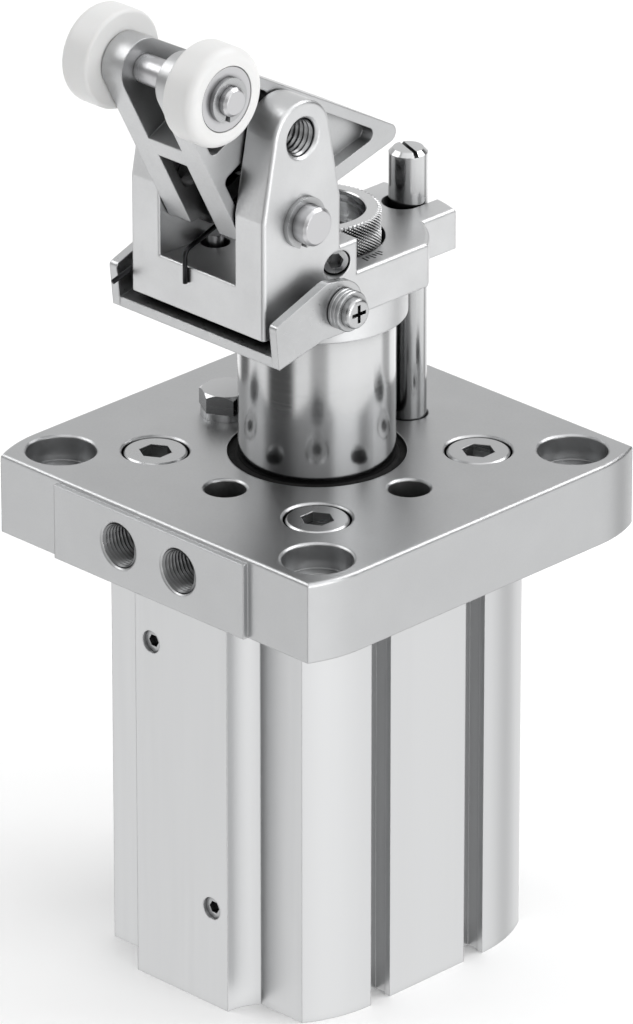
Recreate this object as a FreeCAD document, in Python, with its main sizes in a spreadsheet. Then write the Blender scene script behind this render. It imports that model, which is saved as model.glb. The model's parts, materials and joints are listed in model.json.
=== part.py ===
import FreeCAD, Part
import math
import os
from types import SimpleNamespace

import Sketcher

# Stopper cylinder with a damped tilting lever, 50 mm bore and 30 mm stroke.
# Millimetres. Z runs up along the piston rod and zero is the barrel's lower face.
# The air ports face -Y, the lever leans to -Y and its pivot pin lies along X.

SIZES = {
    # Barrel: an extruded profile with a raised channel panel on its port side
    "bore_radius": 25.0,
    "barrel_length": 91.5,
    "barrel_half_width": 31.7,
    "barrel_corner": 27.25,
    "barrel_flat_end": 16.4,
    "barrel_bulge_radius": 29.0,
    "panel_half_width": 13.1,
    "panel_foot": 15.5,
    "panel_front": 38.76,
    "panel_flank_radius": 12.0,
    "slot_centre": 13.55,
    "slot_width": 5.5,
    "slot_lip": 1.5,
    "slot_undercut": 0.5,
    "slot_depth": 4.6,
    "channel_radius": 2.0,
    "channel_depth_in_panel": 33.6,
    "cross_hole_radius": 1.5,
    "upper_cross_height": 76.0,
    "lower_cross_height": 21.9,
    "plug_radius": 2.4,
    "plug_length": 3.0,
    "plug_recess": 0.8,
    # Mounting flange, which is also the bearing cap
    "flange_half_width": 46.5,
    "flange_corner_inset": 2.8,
    "flange_corner_run": 12.0,
    "flange_thickness": 17.2,
    "flange_edge_round": 0.8,
    "spigot_length": 13.5,
    "port_pad_half_width": 27.0,
    "port_pad_proud": 1.2,
    "port_pad_drop": 1.0,
    "port_spacing": 17.0,
    "port_height": 8.5,
    "port_radius": 4.8,
    "port_chamfer": 0.35,
    "port_depth": 9.0,
    "mount_spacing": 73.0,
    "mount_hole_radius": 4.5,
    "mount_counterbore_radius": 7.2,
    "mount_counterbore_depth": 5.5,
    "cap_screw_offset": 23.03,
    "cap_screw_radius": 4.0,
    "cap_screw_head_radius": 6.5,
    "cap_screw_head_height": 8.0,
    "cap_screw_sink": 0.2,
    "cap_screw_counterbore_radius": 6.95,
    "cap_screw_key": 6.0,
    "cap_screw_key_depth": 4.0,
    "cap_screw_reach": 13.5,
    "key_turn": 31.0,
    "guide_circle": 26.0,
    "spare_hole_radius": 4.25,
    "spare_hole_depth": 14.0,
    "hole_chamfer": 0.4,
    # Seals and bearings round the rod
    "bush_outer_radius": 18.0,
    "bush_length": 21.0,
    "bush_top_depth": 8.7,
    "seal_outer_radius": 20.5,
    "seal_height": 3.5,
    "seal_top_depth": 4.2,
    "wiper_outer_radius": 18.2,
    "wiper_height": 3.1,
    "wiper_recess": 0.4,
    "ring_section": 2.2,
    "flange_ring_drop": 5.8,
    # Lower end of the barrel
    "cap_ring_height": 1.6,
    "cap_ring_thickness": 1.2,
    "cap_ring_bite": 1.2,
    "cap_ring_width": 3.7,
    "end_cap_thickness": 11.2,
    "end_cap_recess_radius": 16.0,
    "end_cap_recess_depth": 4.0,
    "cap_ring_drop": 6.5,
    # Piston, rod and bumpers
    "stroke": 30.0,
    "collar_gap": 1.3,
    "rod_radius": 16.0,
    "rod_bore_radius": 9.7,
    "rod_bottom_wall": 12.0,
    "thread_end_radius": 14.0,
    "piston_gap": 0.3,
    "upper_bumper_height": 5.7,
    "upper_bumper_inner": 17.0,
    "upper_bumper_outer": 21.8,
    "lower_bumper_height": 4.6,
    "lower_bumper_clearance": 0.6,
    "lower_bumper_outer": 20.0,
    "piston_height": 16.0,
    "piston_seal_height": 2.6,
    "piston_seal_depth": 3.4,
    "piston_seal_edge": 1.4,
    "magnet_height": 4.0,
    "magnet_depth": 4.4,
    "nut_height": 7.0,
    "nut_radius": 20.0,
    "nut_notch": 5.0,
    "rod_end_beyond_nut": 2.0,
    # Head: clevis for the lever with a forked guide tab behind
    "collar_radius": 18.3,
    "collar_height": 6.5,
    "block_height": 9.3,
    "rod_socket_depth": 7.9,
    "head_half_width": 18.7,
    "head_front": 33.6,
    "head_back_radius": 22.5,
    "front_relief_height": 2.2,
    "front_relief_end": 22.5,
    "floor_rise": 2.65,
    "ledge_rise": 7.05,
    "ledge_end": 7.2,
    "ear_gap": 21.2,
    "ear_rear": 12.0,
    "ear_kink_rise": 2.4,
    "ear_top_radius": 7.75,
    "ear_thread_rise": 17.7,
    "ear_thread_radius": 4.0,
    "ear_thread_chamfer": 0.55,
    "head_edge_round": 0.8,
    "head_inner_round": 0.4,
    "tab_half_width": 10.25,
    "tab_end_radius": 31.0,
    "tab_bottom_rise": 0.6,
    "guide_slot_radius": 4.25,
    "guide_slot_centre": 24.4,
    "ring_recess_radius": 13.7,
    "ring_recess_depth": 6.0,
    # Guide rod and the hexagon bolt beside the rod
    "guide_rod_radius": 4.0,
    "guide_rod_length": 72.5,
    "guide_rod_chamfer": 0.9,
    "guide_slot_width": 0.9,
    "guide_slot_depth": 1.0,
    "guide_slot_turn": -20.0,
    "bolt_radius": 3.0,
    "bolt_across_flats": 10.0,
    "bolt_head_height": 4.0,
    "bolt_reach": 12.5,
    "spring_washer_radius": 5.3,
    "spring_washer_height": 1.6,
    # Lever, in its own frame: pivot at zero, front face upright
    "pivot_forward": 22.75,
    "pivot_rise": 15.5,
    "lever_tilt": 27.4,
    "lever_width": 20.6,
    "lever_front": 9.6,
    "axle_height": 37.55,
    "axle_boss_radius": 6.1,
    "arm_reach": 32.0,
    "arm_drop": 9.2,
    "arm_tip_radius": 2.0,
    "arm_under_pivot": 4.04,
    "fork_gap": 9.4,
    "fork_floor": 23.6,
    "leg_gap": 8.0,
    "leg_gap_top": 19.15,
    "leg_gap_back": 9.0,
    "lever_rim": 2.2,
    "pocket_depth": 3.0,
    "pocket_corner": 1.6,
    "rib_top": 21.65,
    "rib_bottom": 15.2,
    "pivot_boss_radius": 7.0,
    "pin_radius": 4.0,
    "pin_half_length": 23.2,
    "pin_chamfer": 0.6,
    "pin_ring_radius": 5.3,
    "pin_ring_thickness": 1.1,
    # Rollers and their axle
    "axle_radius": 3.0,
    "axle_half_length": 20.9,
    "roller_radius": 10.25,
    "roller_width": 7.7,
    "roller_side_gap": 0.3,
    "roller_outer_round": 2.0,
    "roller_inner_round": 0.8,
    "roller_recess_radius": 6.75,
    "roller_recess_depth": 0.95,
    "roller_washer_radius": 6.6,
    "roller_washer_thickness": 0.75,
    "axle_ring_radius": 4.6,
    "axle_ring_thickness": 1.0,
    "snap_ring_opening": 20.0,
    # Damper, its plunger and the knurled adjusting ring
    "damper_radius": 9.6,
    "damper_top_drop": 0.8,
    "damper_wall": 2.1,
    "damper_neck": 5.0,
    "damper_foot": 7.0,
    "plunger_radius": 2.5,
    "plunger_ball_radius": 4.0,
    "plunger_ball_gap": 0.35,
    "plunger_piston_height": 8.0,
    "plunger_piston_drop": 42.0,
    "adjuster_radius": 12.9,
    "adjuster_rise": 6.2,
    "adjuster_chamfer": 0.4,
    # Stirrup of bent sheet and what holds it
    "stirrup_half_width": 23.5,
    "stirrup_sheet": 2.0,
    "stirrup_pivot_forward": 16.6,
    "stirrup_pivot_drop": 18.9,
    "stirrup_end_radius": 5.6,
    "stirrup_front": 34.03,
    "stirrup_lip": 34.9,
    "stirrup_base_drop": 8.1,
    "stirrup_plate_depth": 9.0,
    "stirrup_plate_rise": 2.0,
    "stirrup_screw_radius": 2.0,
    "stirrup_screw_head_radius": 3.2,
    "stirrup_screw_head_height": 1.8,
    "stirrup_screw_reach": 10.0,
    "stirrup_washer_radius": 4.2,
    "stirrup_washer_thickness": 0.95,
    "stirrup_spacer_radius": 3.2,
    "cross_recess_width": 0.8,
    "cross_recess_depth": 1.5,
    # Small pieces in the head
    "set_screw_radius": 3.0,
    "set_screw_sink": 2.1,
    "set_screw_point": 1.8,
    "set_screw_key": 3.0,
    "set_screw_key_depth": 2.5,
    "set_screw_forward": 13.2,
    "set_screw_rise": 3.2,
    "catch_pin_x": -7.5,
    "catch_pin_forward": 21.1,
    "catch_pin_radius": 1.75,
    "catch_pin_hole_radius": 3.0,
    "catch_pin_hole_depth": 8.0,
    "catch_pin_proud": 2.0,
    # Springs of round wire
    "wire_radius": 0.5,
    "coil_pitch": 1.12,
    "lever_coil_radius": 5.4,
    "lever_coil_turns": 4.0,
    "lever_leg_x": -2.8,
    "lever_leg_end_rise": -0.8,
    "leg_bend_radius": 2.0,
    "stirrup_coil_radius": 4.4,
    "stirrup_coil_turns": 1.5,
    "stirrup_leg_length": 21.5,
    "stirrup_leg_slope": 16.3,
    # Clearances
    "fit": 0.03,
    "play": 0.1,
}

HEX_CORNER = 1.0 / math.sqrt(3.0)
FAR = 200.0

doc = FreeCAD.newDocument("stopper_cylinder")
sheet = doc.addObject("Spreadsheet::Sheet", "Sizes")
parts = []


class Size:
    """A length or an angle: its value, and the expression that gives it from the sheet."""

    def __init__(self, value, text):
        self.value = value
        self.text = text

    def joined(self, other, sign, value):
        return Size(value, f"({self.text} {sign} {other.text})")

    def __add__(self, other):
        other = as_size(other)
        return self.joined(other, "+", self.value + other.value)

    def __sub__(self, other):
        other = as_size(other)
        return self.joined(other, "-", self.value - other.value)

    def __mul__(self, other):
        other = as_size(other)
        return self.joined(other, "*", self.value * other.value)

    def __truediv__(self, other):
        other = as_size(other)
        return self.joined(other, "/", self.value / other.value)

    def __radd__(self, other):
        return as_size(other) + self

    def __rsub__(self, other):
        return as_size(other) - self

    def __rmul__(self, other):
        return as_size(other) * self

    def __neg__(self):
        return Size(-self.value, f"(-1 * {self.text})")


def as_size(value):
    if isinstance(value, Size):
        return value
    return Size(float(value), repr(float(value)))


def root(size):
    return Size(math.sqrt(size.value), f"sqrt({size.text})")


def sine(angle):
    return Size(math.sin(math.radians(angle.value)), f"sin({angle.text} * 1 deg)")


def cosine(angle):
    return Size(math.cos(math.radians(angle.value)), f"cos({angle.text} * 1 deg)")


def fill_sheet():
    """Write each size to the sheet under its name and return them as one namespace."""
    named = SimpleNamespace()
    for row, (name, value) in enumerate(SIZES.items(), start=1):
        sheet.set(f"A{row}", name)
        sheet.set(f"B{row}", str(value))
        sheet.setAlias(f"B{row}", name)
        setattr(named, name, Size(value, f"Sizes.{name}"))
    doc.recompute()
    return named


def bind(owner, name, value):
    owner.setExpression(name, as_size(value).text)


def new_body(label):
    body = doc.addObject("PartDesign::Body", label)
    body.Label = label
    body.AllowCompound = True
    return body


def place(item, at=(0, 0, 0), axis=(0, 0, 1), angle=0.0):
    """Put a piece at a point, turned about one axis, both bound to the sheet."""
    turn = as_size(angle)
    item.Placement = FreeCAD.Placement(
        FreeCAD.Vector(*[as_size(value).value for value in at]),
        FreeCAD.Rotation(FreeCAD.Vector(*axis), turn.value),
    )
    for name, value in zip("xyz", at):
        bind(item, f"Placement.Base.{name}", value)
    if isinstance(angle, Size):
        bind(item, "Placement.Rotation.Angle", angle)
    return item


def keep(item, label):
    """Name a finished piece and list it for export."""
    item.Label = label
    parts.append(item)
    return item


def own_plane(body, role):
    return [item for item in body.Origin.OriginFeatures if item.Role == role][0]


def new_sketch(body, role="XY_Plane", height=0.0):
    """A sketch on one of the body's own planes, moved along that plane's normal."""
    sketch = body.newObject("Sketcher::SketchObject", f"{body.Name}_sketch")
    sketch.AttachmentSupport = [(own_plane(body, role), "")]
    sketch.MapMode = "FlatFace"
    bind(sketch, "AttachmentOffset.Base.z", height)
    return sketch


def constrain(sketch, constraint, size):
    index = sketch.addConstraint(constraint)
    if "Sizes." in size.text:
        sketch.setExpression(f"Constraints[{index}]", size.text)


def fix_point(sketch, edge, end, x, y):
    """Hold one point of an edge at x and y from the sketch's origin."""
    for kind, axis, value in (("DistanceX", -2, x), ("DistanceY", -1, y)):
        size = as_size(value)
        if size.value == 0.0:
            sketch.addConstraint(Sketcher.Constraint("PointOnObject", edge, end, axis))
        elif size.value > 0.0:
            constrain(sketch, Sketcher.Constraint(kind, -1, 1, edge, end, size.value), size)
        else:
            constrain(sketch, Sketcher.Constraint(kind, edge, end, -1, 1, -size.value), -size)


def circle(sketch, x, y, radius):
    size = as_size(radius)
    centre = FreeCAD.Vector(as_size(x).value, as_size(y).value, 0)
    edge = sketch.addGeometry(Part.Circle(centre, FreeCAD.Vector(0, 0, 1), size.value), False)
    fix_point(sketch, edge, 3, x, y)
    constrain(sketch, Sketcher.Constraint("Radius", edge, size.value), size)


def arc_through(start, end, radius):
    """The short arc between two points; a positive radius has its centre left of the way."""
    chord = end - start
    middle = (start + end) * 0.5
    rise = math.sqrt(max(radius * radius - chord.Length ** 2 / 4.0, 0.0))
    left = FreeCAD.Vector(-chord.y, chord.x, 0).normalize()
    centre = middle + left * math.copysign(rise, radius)
    low, high = (start, end) if radius > 0 else (end, start)
    first = math.atan2(low.y - centre.y, low.x - centre.x)
    last = math.atan2(high.y - centre.y, high.x - centre.x)
    ring = Part.Circle(centre, FreeCAD.Vector(0, 0, 1), abs(radius))
    return Part.ArcOfCircle(ring, first, last)


def outline(sketch, points):
    """A closed outline. A point's third value is the radius of the arc that arrives there."""
    spots = [FreeCAD.Vector(as_size(p[0]).value, as_size(p[1]).value, 0) for p in points]
    edges = []
    for index, point in enumerate(points):
        start, end = spots[index - 1], spots[index]
        if len(point) > 2:
            size = as_size(point[2])
            edge = sketch.addGeometry(arc_through(start, end, size.value), False)
            ends = (1, 2) if size.value > 0 else (2, 1)
            positive = size if size.value > 0 else -size
            constrain(sketch, Sketcher.Constraint("Radius", edge, positive.value), positive)
        else:
            edge = sketch.addGeometry(Part.LineSegment(start, end), False)
            ends = (1, 2)
        edges.append((edge, ends))
    for index, point in enumerate(points):
        edge, ends = edges[index]
        following, following_ends = edges[(index + 1) % len(points)]
        sketch.addConstraint(
            Sketcher.Constraint("Coincident", edge, ends[1], following, following_ends[0])
        )
        fix_point(sketch, edge, ends[1], point[0], point[1])


def rectangle(sketch, left, right, low, high):
    outline(sketch, [(left, low), (right, low), (right, high), (left, high)])


def hexagon(sketch, x, y, across_flats, turn=0.0):
    corner = across_flats * HEX_CORNER
    points = []
    for index in range(6):
        angle = math.radians(turn + 60.0 * index)
        points.append((x + corner * math.cos(angle), y + corner * math.sin(angle)))
    outline(sketch, points)


def outer_tangent(first, second):
    """The two ends of the line that touches both discs on their right-hand side."""
    x1, y1, r1 = [as_size(value).value for value in first]
    x2, y2, r2 = [as_size(value).value for value in second]
    span = math.hypot(x2 - x1, y2 - y1)
    along = FreeCAD.Vector((x2 - x1) / span, (y2 - y1) / span, 0)
    right = FreeCAD.Vector(along.y, -along.x, 0)
    lean = (r1 - r2) / span
    normal = along * lean + right * math.sqrt(1.0 - lean * lean)
    return FreeCAD.Vector(x1, y1, 0) + normal * r1, FreeCAD.Vector(x2, y2, 0) + normal * r2


def belt(sketch, discs):
    """A closed outline drawn like a belt round discs listed counter-clockwise.

    A disc of radius zero is a plain corner.
    """
    count = len(discs)
    lines = [outer_tangent(discs[i], discs[(i + 1) % count]) for i in range(count)]
    edges = [sketch.addGeometry(Part.LineSegment(*line), False) for line in lines]
    for index, (x, y, radius) in enumerate(discs):
        size = as_size(radius)
        before, after = edges[index - 1], edges[index]
        if size.value == 0.0:
            sketch.addConstraint(Sketcher.Constraint("Coincident", before, 2, after, 1))
            fix_point(sketch, after, 1, x, y)
            continue
        centre = FreeCAD.Vector(as_size(x).value, as_size(y).value, 0)
        start = lines[index - 1][1] - centre
        end = lines[index][0] - centre
        ring = Part.Circle(centre, FreeCAD.Vector(0, 0, 1), size.value)
        arc = Part.ArcOfCircle(ring, math.atan2(start.y, start.x), math.atan2(end.y, end.x))
        edge = sketch.addGeometry(arc, False)
        sketch.addConstraint(Sketcher.Constraint("Tangent", before, 2, edge, 1))
        sketch.addConstraint(Sketcher.Constraint("Tangent", edge, 2, after, 1))
        constrain(sketch, Sketcher.Constraint("Radius", edge, size.value), size)
        fix_point(sketch, edge, 3, x, y)


def feature(body, kind, sketch, length, both_ways=False, flipped=False):
    item = body.newObject(f"PartDesign::{kind}", f"{body.Name}_{kind.lower()}")
    item.Profile = sketch
    bind(item, "Length", length)
    item.Midplane = both_ways
    item.Reversed = flipped
    doc.recompute()
    return item


def pad(body, sketch, length, both_ways=False, flipped=False):
    """Add material along the sketch's normal, or on both sides of it."""
    return feature(body, "Pad", sketch, length, both_ways, flipped)


def pocket(body, sketch, length, both_ways=False, flipped=False):
    """Cut against the sketch's normal, and make sure that it did cut."""
    before = body.Tip.Shape.Volume
    item = feature(body, "Pocket", sketch, length, both_ways, flipped)
    if not item.Shape.Volume < before:
        raise RuntimeError(f"a pocket of {body.Label} cuts nothing")
    return item


def turn(body, section, kind="Revolution", angle=360.0):
    """Turn a half section, given as (radius, height) points, about the body's Z axis."""
    sketch = new_sketch(body, "XZ_Plane")
    outline(sketch, section)
    item = body.newObject(f"PartDesign::{kind}", f"{body.Name}_{kind.lower()}")
    item.Profile = sketch
    item.ReferenceAxis = (sketch, ["V_Axis"])
    bind(item, "Angle", angle)
    doc.recompute()
    return item


def ring_section(inner, outer, low, high):
    return [(inner, low), (outer, low), (outer, high), (inner, high)]


def turned(label, section, angle=360.0):
    body = new_body(label)
    turn(body, section, angle=angle)
    return body


def edges_where(shape, test):
    return [f"Edge{number}" for number, edge in enumerate(shape.Edges, start=1) if test(edge)]


def dress(body, kind, size, test):
    """Round or bevel the edges that pass the test."""
    base = body.Tip
    names = edges_where(base.Shape, test)
    item = body.newObject(f"PartDesign::{kind}", f"{body.Name}_{kind.lower()}")
    item.Base = (base, names)
    bind(item, "Radius" if kind == "Fillet" else "Size", size)
    doc.recompute()
    return item


def mirrored(source, *normals):
    """Copies of a piece mirrored in the planes through the origin with these normals."""
    copies = [source]
    for normal in normals:
        for item in list(copies):
            mirror = doc.addObject("Part::Mirroring", f"{source.Name}_mirror")
            mirror.Source = item
            mirror.Normal = FreeCAD.Vector(*normal)
            copies.append(mirror)
    return copies


def group(label, items):
    bundle = doc.addObject("Part::Compound", label)
    bundle.Links = items
    return keep(bundle, label)


def at_height(edge, height):
    box = edge.BoundBox
    return abs(box.ZMin - height) < 1e-4 and abs(box.ZMax - height) < 1e-4


d = fill_sheet()

# Heights and places that several pieces share
flange_bottom = d.barrel_length
flange_top = flange_bottom + d.flange_thickness
collar_bottom = flange_top + d.stroke + d.collar_gap
block_bottom = collar_bottom + d.collar_height
deck = block_bottom + d.block_height
floor = deck + d.floor_rise
ledge = deck + d.ledge_rise
pivot_y = -d.pivot_forward
pivot_z = deck + d.pivot_rise
spigot_bottom = flange_bottom - d.spigot_length
piston_top = spigot_bottom - d.upper_bumper_height - d.piston_gap
piston_bottom = piston_top - d.piston_height
nut_bottom = piston_bottom - d.nut_height
rod_bottom = nut_bottom - d.rod_end_beyond_nut
rod_top = collar_bottom + d.rod_socket_depth
damper_bottom = rod_bottom + d.rod_bottom_wall
damper_top = deck - d.damper_top_drop
recess_floor = deck - d.ring_recess_depth
cap_bottom = d.cap_ring_height + d.cap_ring_thickness
cap_top = cap_bottom + d.end_cap_thickness
port_front = d.flange_half_width + d.port_pad_proud
port_z = flange_top - d.port_height
port_x = d.port_spacing / 2
mount_offset = d.mount_spacing / 2
lever_half = d.lever_width / 2
ear_inner = d.ear_gap / 2
set_screw_mouth = root(d.head_half_width * d.head_half_width
                       + d.set_screw_forward * d.set_screw_forward)
set_screw_z = deck + d.set_screw_rise
stirrup_y = -d.stirrup_pivot_forward
stirrup_z = pivot_z - d.stirrup_pivot_drop
arm_inner = d.stirrup_half_width - d.stirrup_sheet


def make_barrel():
    body = new_body("barrel")
    hw, corner, end = d.barrel_half_width, d.barrel_corner, d.barrel_flat_end
    bulge, flank = d.barrel_bulge_radius, -d.panel_flank_radius
    sketch = new_sketch(body)
    outline(sketch, [
        (d.panel_foot, -hw, flank),
        (corner, -hw),
        (hw, -end, bulge),
        (hw, end),
        (corner, hw, bulge),
        (-corner, hw),
        (-hw, end, bulge),
        (-hw, -end),
        (-corner, -hw, bulge),
        (-d.panel_foot, -hw),
        (-d.panel_half_width, -d.panel_front, flank),
        (d.panel_half_width, -d.panel_front),
    ])
    pad(body, sketch, d.barrel_length)

    sketch = new_sketch(body)
    circle(sketch, 0, 0, d.bore_radius)
    pocket(body, sketch, d.barrel_length, flipped=True)

    mouths = new_sketch(body)
    undercuts = new_sketch(body)
    half = d.slot_width / 2
    wide = half + d.slot_undercut
    for side in (1, -1):
        for centre in (d.slot_centre, -d.slot_centre):
            span = sorted((side * hw, side * (hw - d.slot_depth)), key=lambda s: s.value)
            rectangle(mouths, span[0], span[1], centre - half, centre + half)
            span = sorted((side * (hw - d.slot_lip), side * (hw - d.slot_depth)),
                          key=lambda s: s.value)
            rectangle(undercuts, span[0], span[1], centre - wide, centre + wide)
    pocket(body, mouths, d.barrel_length, flipped=True)
    pocket(body, undercuts, d.barrel_length, flipped=True)

    sketch = new_sketch(body, height=d.barrel_length)
    for x in (d.cap_screw_offset, -d.cap_screw_offset):
        for y in (d.cap_screw_offset, -d.cap_screw_offset):
            circle(sketch, x, y, d.cap_screw_radius + d.fit)
    pocket(body, sketch, d.cap_screw_reach + 1)

    for x, height in ((-port_x, d.upper_cross_height), (port_x, d.lower_cross_height)):
        sketch = new_sketch(body, height=d.barrel_length)
        circle(sketch, x, -d.channel_depth_in_panel, d.channel_radius)
        pocket(body, sketch, d.barrel_length - height)
        sketch = new_sketch(body, "XZ_Plane", d.panel_front)
        circle(sketch, x, height, d.cross_hole_radius)
        pocket(body, sketch, d.panel_front - d.bore_radius + d.channel_radius * 2)
        sketch = new_sketch(body, "XZ_Plane", d.panel_front)
        circle(sketch, x, height, d.plug_radius + d.fit)
        pocket(body, sketch, d.plug_length + d.plug_recess)

    turn(body, ring_section(
        d.bore_radius - 1,
        d.bore_radius + d.cap_ring_bite,
        d.cap_ring_height - d.fit,
        cap_bottom + d.fit,
    ), "Groove")
    keep(body, "barrel")


def make_mounting_flange():
    body = new_body("mounting_flange")
    half = d.flange_half_width
    inset, run = d.flange_corner_inset, d.flange_corner_run
    corner, end = half - inset, half - run
    radius = (run * run + inset * inset) / (2 * inset)
    sketch = new_sketch(body, height=flange_bottom)
    outline(sketch, [
        (corner, -half),
        (half, -end, radius),
        (half, end),
        (corner, half, radius),
        (-corner, half),
        (-half, end, radius),
        (-half, -end),
        (-corner, -half, radius),
    ])
    pad(body, sketch, d.flange_thickness)
    top = flange_top.value
    dress(body, "Fillet", d.flange_edge_round, lambda edge: at_height(edge, top))

    sketch = new_sketch(body, height=flange_bottom)
    pad_half = d.port_pad_half_width
    rectangle(sketch, -pad_half, pad_half, -port_front, -half + 1)
    pad(body, sketch, d.flange_thickness - d.port_pad_drop)

    sketch = new_sketch(body, height=spigot_bottom)
    circle(sketch, 0, 0, d.bore_radius - d.fit)
    pad(body, sketch, d.spigot_length + 1)

    # Stepped bore for the bush, the rod seal and the wiper
    loose = d.rod_radius + d.play * 3
    bush_top = flange_top - d.bush_top_depth
    seal_top = flange_top - d.seal_top_depth
    wiper_bottom = flange_top - d.wiper_recess - d.wiper_height
    turn(body, [
        (0, spigot_bottom - 1),
        (d.bush_outer_radius, spigot_bottom - 1),
        (d.bush_outer_radius, bush_top),
        (loose, bush_top),
        (loose, seal_top - d.seal_height),
        (d.seal_outer_radius, seal_top - d.seal_height),
        (d.seal_outer_radius, seal_top),
        (loose, seal_top),
        (loose, wiper_bottom),
        (d.wiper_outer_radius, wiper_bottom),
        (d.wiper_outer_radius, flange_top + 1),
        (0, flange_top + 1),
    ], "Groove")
    groove_top = flange_bottom - d.flange_ring_drop
    turn(body, ring_section(
        d.bore_radius - d.ring_section,
        d.bore_radius + 1,
        groove_top - d.ring_section - d.play * 2,
        groove_top,
    ), "Groove")

    through = new_sketch(body, height=flange_top)
    counterbores = new_sketch(body, height=flange_top)
    screw_holes = new_sketch(body, height=flange_top)
    screw_sinks = new_sketch(body, height=flange_top)
    for sx in (1, -1):
        for sy in (1, -1):
            x, y = sx * mount_offset, sy * mount_offset
            circle(through, x, y, d.mount_hole_radius)
            circle(counterbores, x, y, d.mount_counterbore_radius)
            x, y = sx * d.cap_screw_offset, sy * d.cap_screw_offset
            circle(screw_holes, x, y, d.cap_screw_radius + d.play)
            circle(screw_sinks, x, y, d.cap_screw_counterbore_radius)
    pocket(body, through, d.flange_thickness)
    pocket(body, counterbores, d.mount_counterbore_depth)
    pocket(body, screw_holes, d.flange_thickness)
    pocket(body, screw_sinks, d.cap_screw_head_height + d.cap_screw_sink)

    sketch = new_sketch(body, height=flange_top)
    circle(sketch, 0, -d.guide_circle, d.spare_hole_radius)
    circle(sketch, d.guide_circle, 0, d.spare_hole_radius)
    pocket(body, sketch, d.spare_hole_depth)
    sketch = new_sketch(body, height=flange_top)
    circle(sketch, 0, d.guide_circle, d.guide_rod_radius + d.fit)
    circle(sketch, -d.guide_circle, 0, d.bolt_radius + d.fit)
    pocket(body, sketch, d.spare_hole_depth)

    sketch = new_sketch(body, "XZ_Plane", port_front)
    circle(sketch, port_x, port_z, d.port_radius)
    circle(sketch, -port_x, port_z, d.port_radius)
    pocket(body, sketch, d.port_depth)
    sketch = new_sketch(body, "XZ_Plane", port_front)
    circle(sketch, port_x, port_z, d.channel_radius)
    circle(sketch, -port_x, port_z, d.channel_radius)
    pocket(body, sketch, port_front - d.channel_depth_in_panel + d.channel_radius)
    sketch = new_sketch(body, height=flange_bottom)
    circle(sketch, port_x, -d.channel_depth_in_panel, d.channel_radius)
    circle(sketch, -port_x, -d.channel_depth_in_panel, d.channel_radius)
    pocket(body, sketch, port_z - flange_bottom, flipped=True)

    # Bevels at the mouths that show on the top and on the port pad
    small = (d.spare_hole_radius.value, (d.guide_rod_radius + d.fit).value,
             d.mount_counterbore_radius.value, d.cap_screw_counterbore_radius.value)

    def top_mouth(edge):
        if not at_height(edge, top) or not isinstance(edge.Curve, Part.Circle):
            return False
        return any(abs(edge.Curve.Radius - radius) < 1e-6 for radius in small)

    dress(body, "Chamfer", d.hole_chamfer, top_mouth)
    front = -port_front.value

    def port_mouth(edge):
        box = edge.BoundBox
        flat = abs(box.YMin - front) < 1e-4 and abs(box.YMax - front) < 1e-4
        return flat and isinstance(edge.Curve, Part.Circle)

    dress(body, "Chamfer", d.port_chamfer, port_mouth)
    keep(body, "mounting_flange")


def make_flange_screws():
    head_top = flange_top - d.cap_screw_sink
    head_bottom = head_top - d.cap_screw_head_height
    tip = flange_bottom - d.cap_screw_reach
    body = turned("flange_screw", [
        (0, tip),
        (d.cap_screw_radius, tip),
        (d.cap_screw_radius, head_bottom),
        (d.cap_screw_head_radius, head_bottom),
        (d.cap_screw_head_radius, head_top - d.hole_chamfer),
        (d.cap_screw_head_radius - d.hole_chamfer, head_top),
        (0, head_top),
    ])
    sketch = new_sketch(body, height=head_top)
    hexagon(sketch, 0, 0, d.cap_screw_key, d.key_turn.value)
    pocket(body, sketch, d.cap_screw_key_depth)
    place(body, (d.cap_screw_offset, d.cap_screw_offset, 0))
    group("flange_screws", mirrored(body, (1, 0, 0), (0, 1, 0)))


def make_housing_rings():
    bush_top = flange_top - d.bush_top_depth
    bush = ring_section(d.rod_radius + d.fit, d.bush_outer_radius - d.fit,
                        bush_top - d.bush_length, bush_top)
    keep(turned("rod_guide_bush", bush), "rod_guide_bush")

    seal_top = flange_top - d.seal_top_depth - d.fit
    seal_low = flange_top - d.seal_top_depth - d.seal_height + d.fit
    inner, outer = d.rod_radius + d.fit, d.seal_outer_radius - d.fit
    middle = (inner + outer) / 2
    lip = d.seal_height / 3
    keep(turned("rod_seal", [
        (inner, seal_low),
        (middle - lip / 2, seal_low),
        (middle, seal_low + lip),
        (middle + lip / 2, seal_low),
        (outer, seal_low),
        (outer, seal_top),
        (inner, seal_top),
    ]), "rod_seal")

    wiper_top = flange_top - d.wiper_recess
    wiper_low = wiper_top - d.wiper_height + d.fit
    outer = d.wiper_outer_radius - d.fit
    keep(turned("rod_wiper", [
        (inner, wiper_low),
        (outer, wiper_low),
        (outer, wiper_top - d.wiper_recess),
        (inner + d.wiper_recess * 2, wiper_top - d.wiper_recess),
        (inner + d.wiper_recess, wiper_top),
        (inner, wiper_top),
    ]), "rod_wiper")

    section = d.ring_section / 2 - d.fit
    centre_radius = d.bore_radius - d.ring_section / 2 - d.fit
    heights = {
        "flange_o_ring": flange_bottom - d.flange_ring_drop - d.ring_section / 2 - d.play,
        "end_cap_o_ring": cap_top - d.cap_ring_drop + d.ring_section / 2 + d.play,
    }
    for label, height in heights.items():
        ring = doc.addObject("Part::Torus", label)
        bind(ring, "Radius1", centre_radius)
        bind(ring, "Radius2", section)
        place(ring, (0, 0, height))
        keep(ring, label)


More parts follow.
